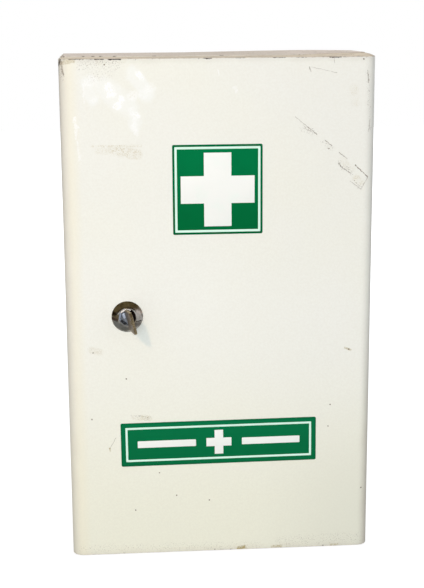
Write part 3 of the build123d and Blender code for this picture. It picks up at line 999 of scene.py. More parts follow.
FINISHES: dict[Slot, Finish] = {
    Slot.CASE_ENAMEL: Enamel("case_enamel", half_height=CASE_HALF_HEIGHT),
    Slot.DOOR_ENAMEL: Enamel("door_enamel", worn_face=True),
    Slot.ZINC: PlatedMetal(
        "zinc_plate_finish", srgb(198, 200, 198), srgb(160, 160, 152), grain_size=6, roughness=0.36,
        metallic=0.7,
    ),
    Slot.PIN_STEEL: PlatedMetal("pin_steel_finish", srgb(176, 174, 168), srgb(120, 108, 92), roughness=0.35),
    Slot.RIVET: PlatedMetal("rivet_finish", srgb(214, 214, 212), srgb(172, 170, 166), roughness=0.38),
    Slot.RUBBER: Rubber("buffer_rubber_finish"),
    Slot.CHROME: PlatedMetal(
        "lock_chrome_finish", srgb(220, 216, 210), srgb(132, 120, 98), tarnish=0.75, dirt_share=0.45,
        grain_size=5, roughness=0.11, patches=DOME_PAINTED_LIGHT,
    ),
    Slot.NICKEL: PlatedMetal(
        "lock_nickel_finish", srgb(182, 190, 204), srgb(92, 98, 106), tarnish=0.85, dirt_share=0.6,
        grain_size=2.4, roughness=0.24, patches=PLUG_PAINTED_LIGHT,
    ),
    Slot.KEY_METAL: PlatedMetal(
        "key_finish", srgb(184, 168, 136), srgb(112, 94, 66), tarnish=0.8, dirt_share=0.7, grain_size=2.2,
        # Painted shade on the key's flat sides
        scratch_run=(1, 8, 1), roughness=0.36, metallic=0.85, sheet_side=(0.97, 0.0, 0.24),
    ),
}


def arc(centre: Point2, radius: float, start: float, end: float, steps: int) -> list[Point2]:
    """Gives points on an arc.

    Args:
        centre: The arc's centre.
        radius: Its radius.
        start: Its first angle, in degrees.
        end: Its last angle, in degrees.
        steps: Number of runs between points.

    Returns:
        The points, from start to end.
    """
    turns = [math.radians(start + (end - start) * step / steps) for step in range(steps + 1)]
    return [(centre[0] + radius * math.cos(turn), centre[1] + radius * math.sin(turn)) for turn in turns]


def rounded_rectangle(
    size: Point2, corner: float, centre: Point2 = (0.0, 0.0), steps: int = 8
) -> list[Point2]:
    """Gives the outline of a rectangle with round corners, anticlockwise.

    Args:
        size: Its width and height.
        corner: Radius of its corners.
        centre: Its middle.
        steps: Number of runs in each corner.

    Returns:
        The outline's points.
    """
    reach_x = size[0] / 2 - corner
    reach_y = size[1] / 2 - corner
    outline: list[Point2] = []
    for turn, (side_x, side_y) in enumerate(((1, 1), (-1, 1), (-1, -1), (1, -1))):
        middle = (centre[0] + side_x * reach_x, centre[1] + side_y * reach_y)
        outline += arc(middle, corner, 90 * turn, 90 * turn + 90, steps)
    return outline


def spread(start: float, end: float, pitch: float) -> list[float]:
    """Gives even stations from one value to another.

    Args:
        start: The first value.
        end: The last value.
        pitch: The largest distance between two stations.

    Returns:
        The stations, both ends included.
    """
    count = max(1, math.ceil(abs(end - start) / pitch))
    return [start + (end - start) * index / count for index in range(count + 1)]


def unraised(first: float, second: float) -> float:
    """Gives no height anywhere, for a surface that stays as it is."""
    return 0.0


def linked(name: str, data: bpy.types.ID) -> bpy.types.Object:
    """Puts a new object into the scene.

    Args:
        name: The object's name.
        data: Its mesh, curve, light or camera.

    Returns:
        The object.
    """
    thing = bpy.data.objects.new(name, data)
    bpy.context.scene.collection.objects.link(thing)
    return thing


def stored(name: str, form: Form) -> bpy.types.Object:
    """Turns a form into an object in the scene.

    Args:
        name: Name of the object and of its mesh.
        form: The form. It is freed.

    Returns:
        The object.
    """
    mesh = bpy.data.meshes.new(name)
    form.to_mesh(mesh)
    form.free()
    return linked(name, mesh)


def taken(blank: bpy.types.Object) -> Form:
    """Takes the final mesh of an object out of the scene.

    Args:
        blank: A mesh with modifiers, or a curve. It is removed.

    Returns:
        Its form.
    """
    bpy.context.view_layer.update()
    mesh = bpy.data.meshes.new_from_object(blank.evaluated_get(bpy.context.evaluated_depsgraph_get()))
    form = bmesh.new()
    form.from_mesh(mesh)
    bpy.data.batch_remove((mesh, blank, blank.data))
    return form


def worked(form: Form, kind: str, **settings: object) -> Form:
    """Applies a modifier to a form.

    Args:
        form: The form. It is freed.
        kind: The modifier's type.
        **settings: Its settings, by name.

    Returns:
        The form that results.
    """
    blank = stored("blank", form)
    set_up(blank.modifiers.new("work", kind), **settings)
    return taken(blank)


def thickened(form: Form, thickness: float) -> Form:
    """Turns a surface into a sheet, on the surface's inner side.

    Args:
        form: The surface. It is freed.
        thickness: The sheet's thickness.

    Returns:
        The sheet.
    """
    return worked(
        form, "SOLIDIFY", thickness=thickness, offset=-1.0, use_even_offset=True, use_quality_normals=True
    )


def carved(form: Form, cutter: Form) -> Form:
    """Cuts one form out of another.

    Args:
        form: The form. It is freed.
        cutter: The closed form that is cut away. It is freed.

    Returns:
        The form with the cut.
    """
    tool = stored("cutter", cutter)
    made = worked(form, "BOOLEAN", operation="DIFFERENCE", solver="EXACT", object=tool)
    bpy.data.batch_remove((tool, tool.data))
    return made


def rods(places: Iterable[Matrix], radius: float, sides: int = 40) -> Form:
    """Makes round cutters.

    Args:
        places: Each rod's middle, with its axis along the place's own z.
        radius: Their radius.
        sides: Number of sides.

    Returns:
        One form with every rod.
    """
    form = bmesh.new()
    for place in places:
        size = {"radius1": radius, "radius2": radius, "depth": CUTTER_LENGTH}
        bmesh.ops.create_cone(form, cap_ends=True, segments=sides, matrix=place, **size)
    return form


def spun(profile: Sequence[Point2], centre_x: float, steps: int = 96) -> Form:
    """Spins a closed section about a line along Y at z 0.

    Args:
        profile: Radius and y of the section's points, in order round it.
        centre_x: The line's x.
        steps: Number of sides.

    Returns:
        The spun form.
    """
    form = bmesh.new()
    turns = [2 * math.pi * step / steps for step in range(steps)]
    rings = []
    for radius, y in profile:
        if radius == 0:
            rings.append([form.verts.new((centre_x, y, 0))] * steps)
            continue
        ring = [(centre_x + radius * math.cos(turn), y, radius * math.sin(turn)) for turn in turns]
        rings.append([form.verts.new(point) for point in ring])
    for near, far in zip(rings, rings[1:] + rings[:1]):
        for step in range(steps):
            after = (step + 1) % steps
            corners = list(dict.fromkeys((near[step], near[after], far[after], far[step])))
            if len(corners) > 2:
                form.faces.new(corners)
    bmesh.ops.recalc_face_normals(form, faces=form.faces)
    return form


def plate(loops: Sequence[Sequence[Point2]], thickness: float, edge: float, place: Matrix) -> Form:
    """Makes a flat plate with softened edges from its outline and holes.

    Args:
        loops: The outline, then the holes and any further outlines.
        thickness: The plate's thickness, centred on the place's own xy plane.
        edge: Radius of its edges.
        place: Where the plate lies.

    Returns:
        The plate.
    """
    curve = bpy.data.curves.new("outline", "CURVE")
    set_up(curve, dimensions="2D", fill_mode="BOTH", extrude=thickness / 2 - edge)
    set_up(curve, bevel_depth=edge, bevel_resolution=1, offset=-edge)
    for loop in loops:
        spline = curve.splines.new("POLY")
        spline.points.add(len(loop) - 1)
        for point, (across, up) in zip(spline.points, loop):
            point.co = (across, up, 0, 1)
        spline.use_cyclic_u = True
    form = taken(linked("outline", curve))
    bmesh.ops.remove_doubles(form, verts=form.verts, dist=edge / 20)
    bmesh.ops.transform(form, matrix=place, verts=form.verts)
    bmesh.ops.recalc_face_normals(form, faces=form.faces)
    return form


def sliced(form: Form, axis: int, stations: Iterable[float]) -> None:
    """Cuts a form's faces along planes, without parting it.

    Args:
        form: The form. It is changed.
        axis: 0, 1 or 2, for planes across X, Y or Z.
        stations: The planes' places on that axis.
    """
    normal = tuple(float(index == axis) for index in range(3))
    for station in stations:
        everything = form.verts[:] + form.edges[:] + form.faces[:]
        spot = tuple(station * share for share in normal)
        bmesh.ops.bisect_plane(form, geom=everything, plane_co=spot, plane_no=normal)


def joined(forms: Iterable[Form]) -> Form:
    """Puts several forms into one.

    Args:
        forms: The forms. They are freed.

    Returns:
        One form with all of them.
    """
    whole = bmesh.new()
    for form in forms:
        part = bpy.data.meshes.new("part")
        form.to_mesh(part)
        form.free()
        whole.from_mesh(part)
        bpy.data.meshes.remove(part)
    return whole


def mirrored(form: Form) -> Form:
    """Turns a form into its mirror image in the level plane.

    Args:
        form: The form. It is changed.

    Returns:
        The same form.
    """
    bmesh.ops.scale(form, vec=(1, 1, -1), verts=form.verts)
    bmesh.ops.reverse_faces(form, faces=form.faces)
    return form


@dataclass
class FoldedBox:
    """Sizes of one sheet folded round three sides of a box, with its two inset end plates."""

    half_height: float
    closed_y: float
    open_y: float
    closed_bend: float
    open_bend: float
    lip: float
    rise: Height
    half_width: float = HALF_WIDTH
    closed_steps: int = 12
    open_steps: int = 4
    plate_closed_steps: int = 8
    plate_open_steps: int = 3
    fold_steps: int = 4
    sheet: float = 1.0
    skirt: float = 10.0
    lip_clear: float = 0.3
    corner_clear: float = 1.0
    fold: float = 1.3
    top_rows: tuple[float, ...] = (8, 20, 32)
    rise_start: float = 40.0
    rise_end: float = 0.5
    wave_reach: float = 0.6

    @property
    def inward(self) -> int:
        """Direction along Y from the closed side to the open one."""
        return 1 if self.open_y > self.closed_y else -1

    def plan(self, pitch: float) -> list[Point2]:
        """Gives the outside of the sheet in plan, from lip to lip.

        Args:
            pitch: Largest run on the closed side.

        Returns:
            The points, anticlockwise, so that the outside is on their right.
        """
        side, bend, corner = self.half_width, self.closed_bend, self.open_bend
        edge = abs(self.open_y - self.closed_y)
        reach = side - bend
        middle = (edge - corner + bend) / 2
        points = [(-(side - self.lip), edge)]
        points += arc((-(side - corner), edge - corner), corner, 90, 180, self.open_steps)
        points += [(-side, middle)]
        points += arc((-reach, bend), bend, 180, 270, self.closed_steps)
        points += [(x, 0.0) for x in spread(-reach, reach, pitch)[1:-1]]
        points += arc((reach, bend), bend, 270, 360, self.closed_steps)
        points += [(side, middle)]
        points += arc((side - corner, edge - corner), corner, 0, 90, self.open_steps)
        points += [(side - self.lip, edge)]
        return [(self.inward * x, self.closed_y + self.inward * y) for x, y in points]

    def wrapper(
        self, pitch: float, rows: Iterable[float], notch: float = 0.0, wave: Height = unraised
    ) -> Form:
        """Builds the folded sheet.

        Args:
            pitch: Largest run across the closed side.
            rows: Heights of the mesh's rows besides the ends and the lips' ends.
            notch: Half the height of the opening in the left lip, or 0.
            wave: Gives how far a point of the closed side stands in, from its x and z.

        Returns:
            The sheet.
        """
        lip_end = self.half_height - self.skirt - self.lip_clear
        heights = {round(z, 4) for z in rows} | {-self.half_height, self.half_height, -lip_end, lip_end}
        heights |= {self.half_height - step for step in self.top_rows}
        plan = self.plan(pitch)
        form = bmesh.new()
        grid = []
        for z in sorted(heights):
            row = []
            for x, y in plan:
                near = eased(abs(y - self.closed_y), self.closed_bend * self.wave_reach, 0.0)
                row.append(form.verts.new((x, y + self.inward * wave(x, z) * near, z)))
            grid.append(row)
        last = len(plan) - 2
        for low, high in zip(grid, grid[1:]):
            middle_z = abs(low[0].co.z + high[0].co.z) / 2
            for index in range(last + 1):
                cut_away = middle_z > lip_end or (plan[index][0] < 0 and middle_z < notch)
                if index in (0, last) and cut_away:
                    continue
                form.faces.new((low[index], low[index + 1], high[index + 1], high[index]))
        loose = [vertex for vertex in form.verts if not vertex.link_faces]
        bmesh.ops.delete(form, geom=loose, context="VERTS")
        self.raise_top(form)
        return thickened(form, self.sheet)

    def raise_top(self, form: Form) -> None:
        """Lifts the upper rim of a form by the box's rise.

        Args:
            form: The form. It is changed.
        """
        start, end = self.half_height - self.rise_start, self.half_height - self.rise_end
        for vertex in form.verts:
            vertex.co.z += self.rise(vertex.co.x, vertex.co.y) * eased(vertex.co.z, start, end)

    def top_plate(self, pitch: float, crown: Height = unraised) -> Form:
        """Builds the top end plate, with its skirt and the tongue between the lips.

        Args:
            pitch: Distance between the rows of its mesh.
            crown: Gives how far the plate bulges, from x and y.

        Returns:
            The plate.
        """
        side = self.half_width - self.sheet
        edge = abs(self.open_y - self.closed_y) - self.sheet
        closed_corner = self.closed_bend - self.sheet + self.corner_clear
        open_corner = self.open_bend - self.sheet + self.corner_clear
        tongue = self.half_width - self.open_bend - self.lip_clear
        open_turn = math.degrees(math.acos(min(1.0, (tongue - side + open_corner) / open_corner)))
        closed_middle = (side - closed_corner, self.sheet + closed_corner)
        open_middle = (side - open_corner, edge - open_corner)
        right = arc(closed_middle, closed_corner, 270, 360, self.plate_closed_steps)
        right += arc(open_middle, open_corner, 0, open_turn, self.plate_open_steps)
        right += [(tongue, edge + self.sheet)]
        left = [(-x, y) for x, y in reversed(right)]
        outline = [(self.inward * x, self.closed_y + self.inward * y) for x, y in right + left]
        levels = (self.half_height, self.half_height - self.skirt)
        form = bmesh.new()
        top, low = ([form.verts.new((x, y, z)) for x, y in outline] for z in levels)
        face = form.faces.new(top)
        for index in range(len(outline)):
            after = (index + 1) % len(outline)
            form.faces.new((low[index], low[after], top[after], top[index]))
        round_fold = {"offset": self.fold, "segments": self.fold_steps, "profile": 0.5, "affect": "EDGES"}
        bmesh.ops.bevel(form, geom=list(face.edges), **round_fold)
        sliced(form, 0, spread(-side, side, pitch)[1:-1])
        sliced(form, 1, spread(self.closed_y, self.open_y, pitch)[1:-1])
        for vertex in form.verts:
            if vertex.co.z > self.half_height - self.fold / 3:
                vertex.co.z += crown(vertex.co.x, vertex.co.y)
        self.raise_top(form)
        return thickened(form, self.sheet)

    def bottom_plate(self, pitch: float) -> Form:
        """Builds the bottom end plate.

        Args:
            pitch: Distance between the rows of its mesh.

        Returns:
            The plate.
        """
        return mirrored(replace(self, rise=unraised).top_plate(pitch))


def right_end_rise(x: float, y: float) -> float:
    """Gives how far the top's right end stands up where door and case meet.

    Args:
        x: Place across.
        y: Place along the depth.

    Returns:
        The rise.
    """
    rise, start, seam_front, seam_back = 1.7, 60, -105, -70
    return rise * eased(x, start, HALF_WIDTH) * eased(y, DOOR_FRONT, seam_front) * eased(y, 0, seam_back)


@dataclass
class SubAssembly:
    """Base of the cabinet's groups of pieces: it stores forms as objects and dresses them."""

    paints: dict[Slot, bpy.types.Material]
    made: list[str] = field(default_factory=list)
    smooth_under: float = 35.0
    soft_over: float = 40.0

    def add(
        self,
        name: str,
        form: Form,
        body: Body,
        slot: Slot | None,
        stands_for: Sequence[str] = (),
        finish: Finish | None = None,
        edge: float = 0.0,
    ) -> None:
        """Stores a form as an object that rides on its body.

        Args:
            name: The object's name.
            form: The form, in millimetres. It is freed.
            body: The body it moves with.
            slot: The record's slot it takes its finish from, or None for a print of its own.
            stands_for: The CAD nodes it replaces.
            finish: Its finish where that isn't the slot's own.
            edge: Radius that its sharp edges are softened to, or 0.
        """
        bmesh.ops.scale(form, vec=(MM, MM, MM), verts=form.verts)
        piece = stored(name, form)
        mesh = piece.data
        mesh.shade_smooth()
        mesh.set_sharp_from_angle(angle=math.radians(self.smooth_under))
        mesh.materials.append(finish.material() if finish else self.paints[slot])
        if edge:
            soften = piece.modifiers.new("softened_edges", "BEVEL")
            set_up(soften, width=edge * MM, segments=2, limit_method="ANGLE", harden_normals=True)
            soften.angle_limit = math.radians(self.soft_over)
        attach(piece, body.value)
        if stands_for:
            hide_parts(*stands_for)
        self.made.append(name)
        LOG.info("%s: %d faces on %s", name, len(mesh.polygons), body.value)

    def dress(self, slot: Slot, *nodes: str) -> None:
        """Gives CAD nodes that keep their shape a finish.

        Args:
            slot: The slot whose finish they get.
            *nodes: The nodes' names.
        """
        for name in nodes:
            node = frame["nodes"][name]
            node.data.materials.clear()
            node.data.materials.append(self.paints[slot])
            LOG.info("%s: dressed as %s", name, slot.value)


def rivet_holes(side: int) -> Form:
    """Gives the cutters of the hinge rivets' holes in the right wall.

    Args:
        side: 1 for the case's rivets and -1 for the door's.

    Returns:
        The cutters.
    """
    hinge_y, leaf_width, knuckle_radius, hinge_z, reach = -92.4, 19.0, 3.0, 168.0, 20.0
    y = hinge_y + side * (leaf_width + knuckle_radius) / 2
    heights = (hinge * hinge_z + end * reach for hinge in (-1, 1) for end in (-1, 1))
    return rods([Matrix.Translation((HALF_WIDTH, y, z)) @ SIDEWAYS for z in heights], RIVET_HOLE, 24)


@dataclass
class Case(SubAssembly):
    """The wall case with its shelves, striker and buffers."""

    half_height: float = CASE_HALF_HEIGHT
    front_y: float = -91.8
    bend: float = 3.0
    lip: float = 12.0
    wall_hole_radius: float = 3.5
    wall_hole_reach: Point2 = (110.0, 200.0)
    soft_edge: float = 0.25
    row_pitch: float = 24.0
    crown_pitch: float = 8.0
    bulge: float = 1.9
    bulge_across: tuple[Run, ...] = ((-90, 85), (190, 90), (149.5, 141))
    bulge_along: tuple[Run, ...] = ((-91, -60), (-1.5, -20))

    def crown(self, x: float, y: float) -> float:
        """Gives the bulge of the top plate, which is pushed up on its right half.

        Args:
            x: Place across.
            y: Place along the depth.

        Returns:
            The rise.
        """
        across = math.prod(eased(x, *run) for run in self.bulge_across)
        return self.bulge * across * math.prod(eased(y, *run) for run in self.bulge_along)

    def build(self) -> None:
        """Builds and dresses the case."""
        box = FoldedBox(self.half_height, 0.0, self.front_y, self.bend, self.bend, self.lip, right_end_rise)
        sheet = box.wrapper(self.row_pitch, spread(-self.half_height, self.half_height, self.row_pitch))
        reach_x, reach_z = self.wall_hole_reach
        corners = [(side * reach_x, 0, end * reach_z) for side in (-1, 1) for end in (-1, 1)]
        holes = rods([Matrix.Translation(corner) @ FACING for corner in corners], self.wall_hole_radius)
        sheet = carved(carved(sheet, holes), rivet_holes(1))
        enamel = Slot.CASE_ENAMEL
        self.add("case_sheet", sheet, Body.CASE, enamel, ["case_wrapper"], edge=self.soft_edge)
        top = box.top_plate(self.crown_pitch, self.crown)
        bottom = box.bottom_plate(self.row_pitch)
        self.add("case_top_plate", top, Body.CASE, enamel, ["case_top_cap"], CASE_TOP)
        self.add("case_bottom_plate", bottom, Body.CASE, enamel, ["case_bottom_cap"])
        self.dress(enamel, "shelf_upper", "shelf_lower")
        self.dress(Slot.ZINC, "lock_striker")
        self.dress(Slot.RUBBER, "door_buffers")


@dataclass
class Door(SubAssembly):
    """The deep sheet-steel door with its end plates and trays."""

    half_height: float = DOOR_HALF_HEIGHT
    front_y: float = DOOR_FRONT
    back_y: float = -93.0
    face_bend: float = 11.0
    lip_bend: float = 2.5
    lip: float = 9.0
    lock_x: float = LOCK_X
    barrel_hole: float = 7.1
    barrel_hole_flats: float = 12.8
    striker_opening: float = 14.0
    soft_edge: float = 0.25
    row_pitch: float = 5.0
    crown_pitch: float = 10.0
    base_pitch: float = 20.0
    wave_depth: float = 0.16
    wave_length: float = 75.0
    ripple_length: float = 30.0
    ripple_share: float = 0.5
    top_unevenness: float = 0.25
    top_wave_length: float = 40.0
    flats: tuple[tuple[Point2, Point2], ...] = (
        (SIGN_MIDDLE, (43, 43)),
        (LABEL_MIDDLE, (98, 23.5)),
        ((LOCK_X, 0.0), (15.3, 15.3)),
    )
    flat_margin: Point2 = (2.0, 22.0)

    def wave(self, x: float, z: float) -> float:
        """Gives how far the face stands in at a point, from the sheet's slight unevenness.

        Args:
            x: Place across.
            z: Height.

        Returns:
            The depth. It is 0 under the signs and the lock.
        """
        keep = 1.0
        for (middle_x, middle_z), (reach_x, reach_z) in self.flats:
            away = max(abs(x - middle_x) - reach_x, abs(z - middle_z) - reach_z)
            keep *= eased(away, *self.flat_margin)
        wave = noise.noise(Vector((x / self.wave_length, 3.7, z / self.wave_length)))
        ripple = noise.noise(Vector((x / self.ripple_length, 9.1, z / self.ripple_length)))
        return self.wave_depth * (wave + self.ripple_share * ripple) * keep

    def crown(self, x: float, y: float) -> float:
        """Gives the slight unevenness of the top plate.

        Args:
            x: Place across.
            y: Place along the depth.

        Returns:
            The rise.
        """
        place = Vector((x / self.top_wave_length, y / self.top_wave_length, 5.0))
        return self.top_unevenness * noise.noise(place)

    def barrel_cutter(self) -> Form:
        """Gives the cutter of the barrel's hole, with its two flats.

        Returns:
            The cutter.
        """
        hole = rods([Matrix.Translation((self.lock_x, self.front_y, 0)) @ FACING], self.barrel_hole, 64)
        flat = self.barrel_hole_flats / 2
        for vertex in hole.verts:
            vertex.co.x = self.lock_x + min(max(vertex.co.x - self.lock_x, -flat), flat)
        return hole

    def build(self) -> None:
        """Builds and dresses the door."""
        bends = (self.face_bend, self.lip_bend)
        box = FoldedBox(self.half_height, self.front_y, self.back_y, *bends, self.lip, right_end_rise)
        rows = spread(-self.half_height, self.half_height, self.row_pitch)
        rows += [-self.striker_opening, self.striker_opening]
        skin = box.wrapper(self.row_pitch, rows, self.striker_opening, self.wave)
        skin = carved(carved(skin, self.barrel_cutter()), rivet_holes(-1))
        enamel = Slot.DOOR_ENAMEL
        self.add("door_sheet", skin, Body.DOOR, enamel, ["door_skin"], edge=self.soft_edge)
        top = box.top_plate(self.crown_pitch, self.crown)
        bottom = box.bottom_plate(self.base_pitch)
        self.add("door_top_plate", top, Body.DOOR, enamel, ["door_top_cap"], DOOR_TOP)
        self.add("door_bottom_plate", bottom, Body.DOOR, enamel, ["door_bottom_cap"])
        self.dress(enamel, "door_tray_upper", "door_tray_lower")


@dataclass(frozen=True)
class Sticker:
    """One adhesive sign: its green ground, and the frame line, cross and bars that are printed on it."""

    node: str
    middle: Point2
    size: Point2
    ground: Vinyl
    ink: Vinyl
    inset: float
    line: float
    cross_side: float
    cross_arm: float
    turn: float = 0.0
    bar_size: Point2 = (58.0, 7.0)
    bar_places: tuple[float, ...] = ()
    line_corners: Point2 = (0.6, 0.4)

    def place(self, proud: float) -> Matrix:
        """Gives the plane of one of its films on the door's face.

        Args:
            proud: How far the film's middle stands out of the face.

        Returns:
            The place, with its own xy plane on the face and its z out of the door.
        """
        spin = Matrix.Rotation(math.radians(self.turn), 4, "Z")
        return Matrix.Translation((self.middle[0], DOOR_FRONT - proud, self.middle[1])) @ FACING @ spin

    def cross(self) -> list[Point2]:
        """Gives the outline of its cross.

        Returns:
            The twelve corners, anticlockwise.
        """
        far, near = self.cross_side / 2, self.cross_arm / 2
        outline = []
        for turn in range(4):
            spin = Matrix.Rotation(turn * math.pi / 2, 2)
            outline += [tuple(spin @ Vector(corner)) for corner in ((far, -near), (far, near), (near, near))]
        return outline

    def print_loops(self) -> list[list[Point2]]:
        """Gives the outlines of what is printed on it.

        Returns:
            The two loops of its frame line, its cross and its bars.
        """
        loops = []
        for inset, corner in zip((self.inset, self.inset + self.line), self.line_corners):
            size = (self.size[0] - 2 * inset, self.size[1] - 2 * inset)
            loops.append(rounded_rectangle(size, corner, steps=3))
        loops.append(self.cross())
        bars = [rounded_rectangle(self.bar_size, self.line_corners[0], (x, 0.0), 3) for x in self.bar_places]
        return loops + bars


@dataclass
class Signs(SubAssembly):
    """The two adhesive signs on the door: green ground with a white print that stands a hair proud of it."""

    film: float = 0.3
    film_edge: float = 0.06
    ink: float = 0.05
    ink_edge: float = 0.01
    corner: float = 1.5
    stickers: tuple[Sticker, ...] = (
        Sticker(
            "cross_sign", SIGN_MIDDLE, SIGN_SIZE, SIGN_FILM, SIGN_PRINT,
            inset=2.1, line=2.2, cross_side=70.8, cross_arm=26.3,
        ),
        Sticker(
            "name_label", LABEL_MIDDLE, LABEL_SIZE, LABEL_FILM, LABEL_PRINT,
            inset=4.7, line=2.1, cross_side=25.0, cross_arm=8.6, turn=0.35, bar_places=(-52.0, 52.0),
        ),
    )

    def build(self) -> None:
        """Builds and dresses both signs."""
        for sign in self.stickers:
            outline = rounded_rectangle(sign.size, self.corner)
            film = plate([outline], self.film, self.film_edge, sign.place(self.film / 2))
            self.add(f"{sign.node}_film", film, Body.DOOR, Slot.GREEN_VINYL, [sign.node], sign.ground)
            raised = plate(sign.print_loops(), self.ink, self.ink_edge, sign.place(self.film + self.ink / 4))
            self.add(f"{sign.node}_print", raised, Body.DOOR, None, (), sign.ink)


@dataclass
class Lock(SubAssembly):
    """The cam lock: rosette, barrel, plug and the pieces behind the door."""

    centre_x: float = LOCK_X
    door_front: float = DOOR_FRONT
    rosette_radius: float = 15.25
    rosette_height: float = 3.6
    rosette_lip: tuple[Point2, ...] = ((0.1, 0.0), (0.0, 0.12), (0.0, 0.42), (0.18, 0.62), (0.55, 0.72))
    rosette_crown: float = 0.92
    rosette_clear: float = 0.1
    rosette_rim: float = 0.5
    rosette_steps: int = 15
    rosette_sides: int = 128
    barrel_radius: float = 7.0
    barrel_flats: float = 12.6
    barrel_back: float = -131.0
    barrel_chamfer: float = 0.4
    rim_radius: float = 8.4
    rim_front: float = -154.8
    rim_outside: tuple[Point2, ...] = ((0.0, 0.5), (0.25, 0.18), (0.6, 0.0))
    rim_inside: tuple[Point2, ...] = ((0.35, 0.0), (0.1, 0.08), (0.0, 0.25))
    thread_start: float = 1.5
    thread_pitch: float = 1.0
    thread_depth: float = 0.45
    bore_radius: float = 5.05
    collar_bore: float = 6.25
    collar_back: float = -154.0
    plug_front: float = PLUG_FRONT
    plug_radius: float = 5.0
    plug_collar: float = 6.2
    plug_edge: tuple[Point2, ...] = ((0.5, 0.0), (0.2, 0.07), (0.0, 0.3))
    plug_soft_edge: float = 0.12
    collar_clear: float = 0.05
    square: float = 6.4
    square_corner: float = 0.4
    square_edge: float = 0.1
    square_end: float = -128.8
    keyway: Point2 = (2.4, 7.4)
    keyway_depth: float = 17.5
    keyway_overcut: float = 2.0
    lean: float = KEY_LEAN

    def key_place(self, y: float) -> Matrix:
        """Gives the plane across the lock's axis whose own y runs up the leaning key.

        Args:
            y: Where it crosses the axis.

        Returns:
            The place, with its z out of the door.
        """
        spin = Matrix.Rotation(math.radians(self.lean), 4, "Z")
        return Matrix.Translation((self.centre_x, y, 0)) @ FACING @ spin

    def rosette(self) -> Form:
        """Builds the domed ring, with a turned lip round it and a rolled edge at the barrel.

        Returns:
            The ring.
        """
        seat, outer, bore = self.door_front, self.rosette_radius, self.barrel_radius + self.rosette_clear
        top, steps = self.rim_radius + self.rosette_rim, self.rosette_steps
        inset, lip = self.rosette_lip[-1]
        profile = [(bore, seat)] + [(outer - inward, seat - rise) for inward, rise in self.rosette_lip]
        for share in (step / steps for step in range(1, steps)):
            rise = lip + (self.rosette_height - lip) * math.sin(share * math.pi / 2) ** self.rosette_crown
            profile.append((outer - inset - (outer - inset - top) * share, seat - rise))
        profile += [(top, seat - self.rosette_height), (bore, seat - self.rosette_height)]
        return spun(profile, self.centre_x, self.rosette_sides)

    def barrel(self) -> Form:
        """Builds the flatted, threaded barrel with its rim.

        Returns:
            The barrel.
        """
        radius, pitch = self.barrel_radius, self.thread_pitch
        rim_back = self.door_front - self.rosette_height
        profile = [(self.bore_radius, self.barrel_back), (radius - self.barrel_chamfer, self.barrel_back)]
        y = self.barrel_back - self.barrel_chamfer
        while y > self.door_front + self.thread_start + pitch:
            profile += [(radius, y), (radius - self.thread_depth, y - pitch / 2)]
            y -= pitch
        profile += [(radius, y), (radius, rim_back), (self.rim_radius, rim_back)]
        profile += [(self.rim_radius - inward, self.rim_front + back) for inward, back in self.rim_outside]
        profile += [(self.collar_bore + outward, self.rim_front + back) for outward, back in self.rim_inside]
        profile += [(self.collar_bore, self.collar_back), (self.bore_radius, self.collar_back)]
        form = spun(profile, self.centre_x)
        flat = self.barrel_flats / 2
        for vertex in form.verts:
            if vertex.co.y > rim_back + 0.01:
                across = vertex.co.x - self.centre_x
                vertex.co.x = self.centre_x + min(max(across, -flat), flat)
        return form

    def plug(self) -> Form:
        """Builds the plug with its collar, keyway and square end.

        Returns:
            The plug.
        """
        front, shoulder = self.plug_front, self.collar_back - self.collar_clear
        profile = [(0.0, front)]
        profile += [(self.plug_collar - inward, front + back) for inward, back in self.plug_edge]
        profile += [(self.plug_collar, shoulder), (self.plug_radius, shoulder)]
        profile += [(self.plug_radius, self.barrel_back), (0.0, self.barrel_back)]
        slot = bmesh.new()
        deep = Matrix.Translation((0, 0, (self.keyway_overcut - self.keyway_depth) / 2))
        bmesh.ops.create_cube(slot, size=1.0)
        bmesh.ops.scale(slot, vec=(*self.keyway, self.keyway_depth + self.keyway_overcut), verts=slot.verts)
        bmesh.ops.transform(slot, matrix=self.key_place(front) @ deep, verts=slot.verts)
        length = self.square_end - self.barrel_back
        outline = rounded_rectangle((self.square, self.square), self.square_corner, steps=2)
        end = plate([outline], length, self.square_edge, self.key_place(self.barrel_back + length / 2))
        return joined((carved(spun(profile, self.centre_x), slot), end))

    def build(self) -> None:
        """Builds and dresses the lock."""
        self.add("rosette_dome", self.rosette(), Body.DOOR, Slot.CHROME, ["lock_rosette"])
        self.add("barrel_threaded", self.barrel(), Body.DOOR, Slot.NICKEL, ["lock_barrel"], BARREL)
        plug_edge = self.plug_soft_edge
        self.add("plug_turned", self.plug(), Body.PLUG, Slot.NICKEL, ["lock_plug"], edge=plug_edge)
        self.dress(Slot.ZINC, "lock_washer", "lock_nut", "lock_cam", "cam_screw")


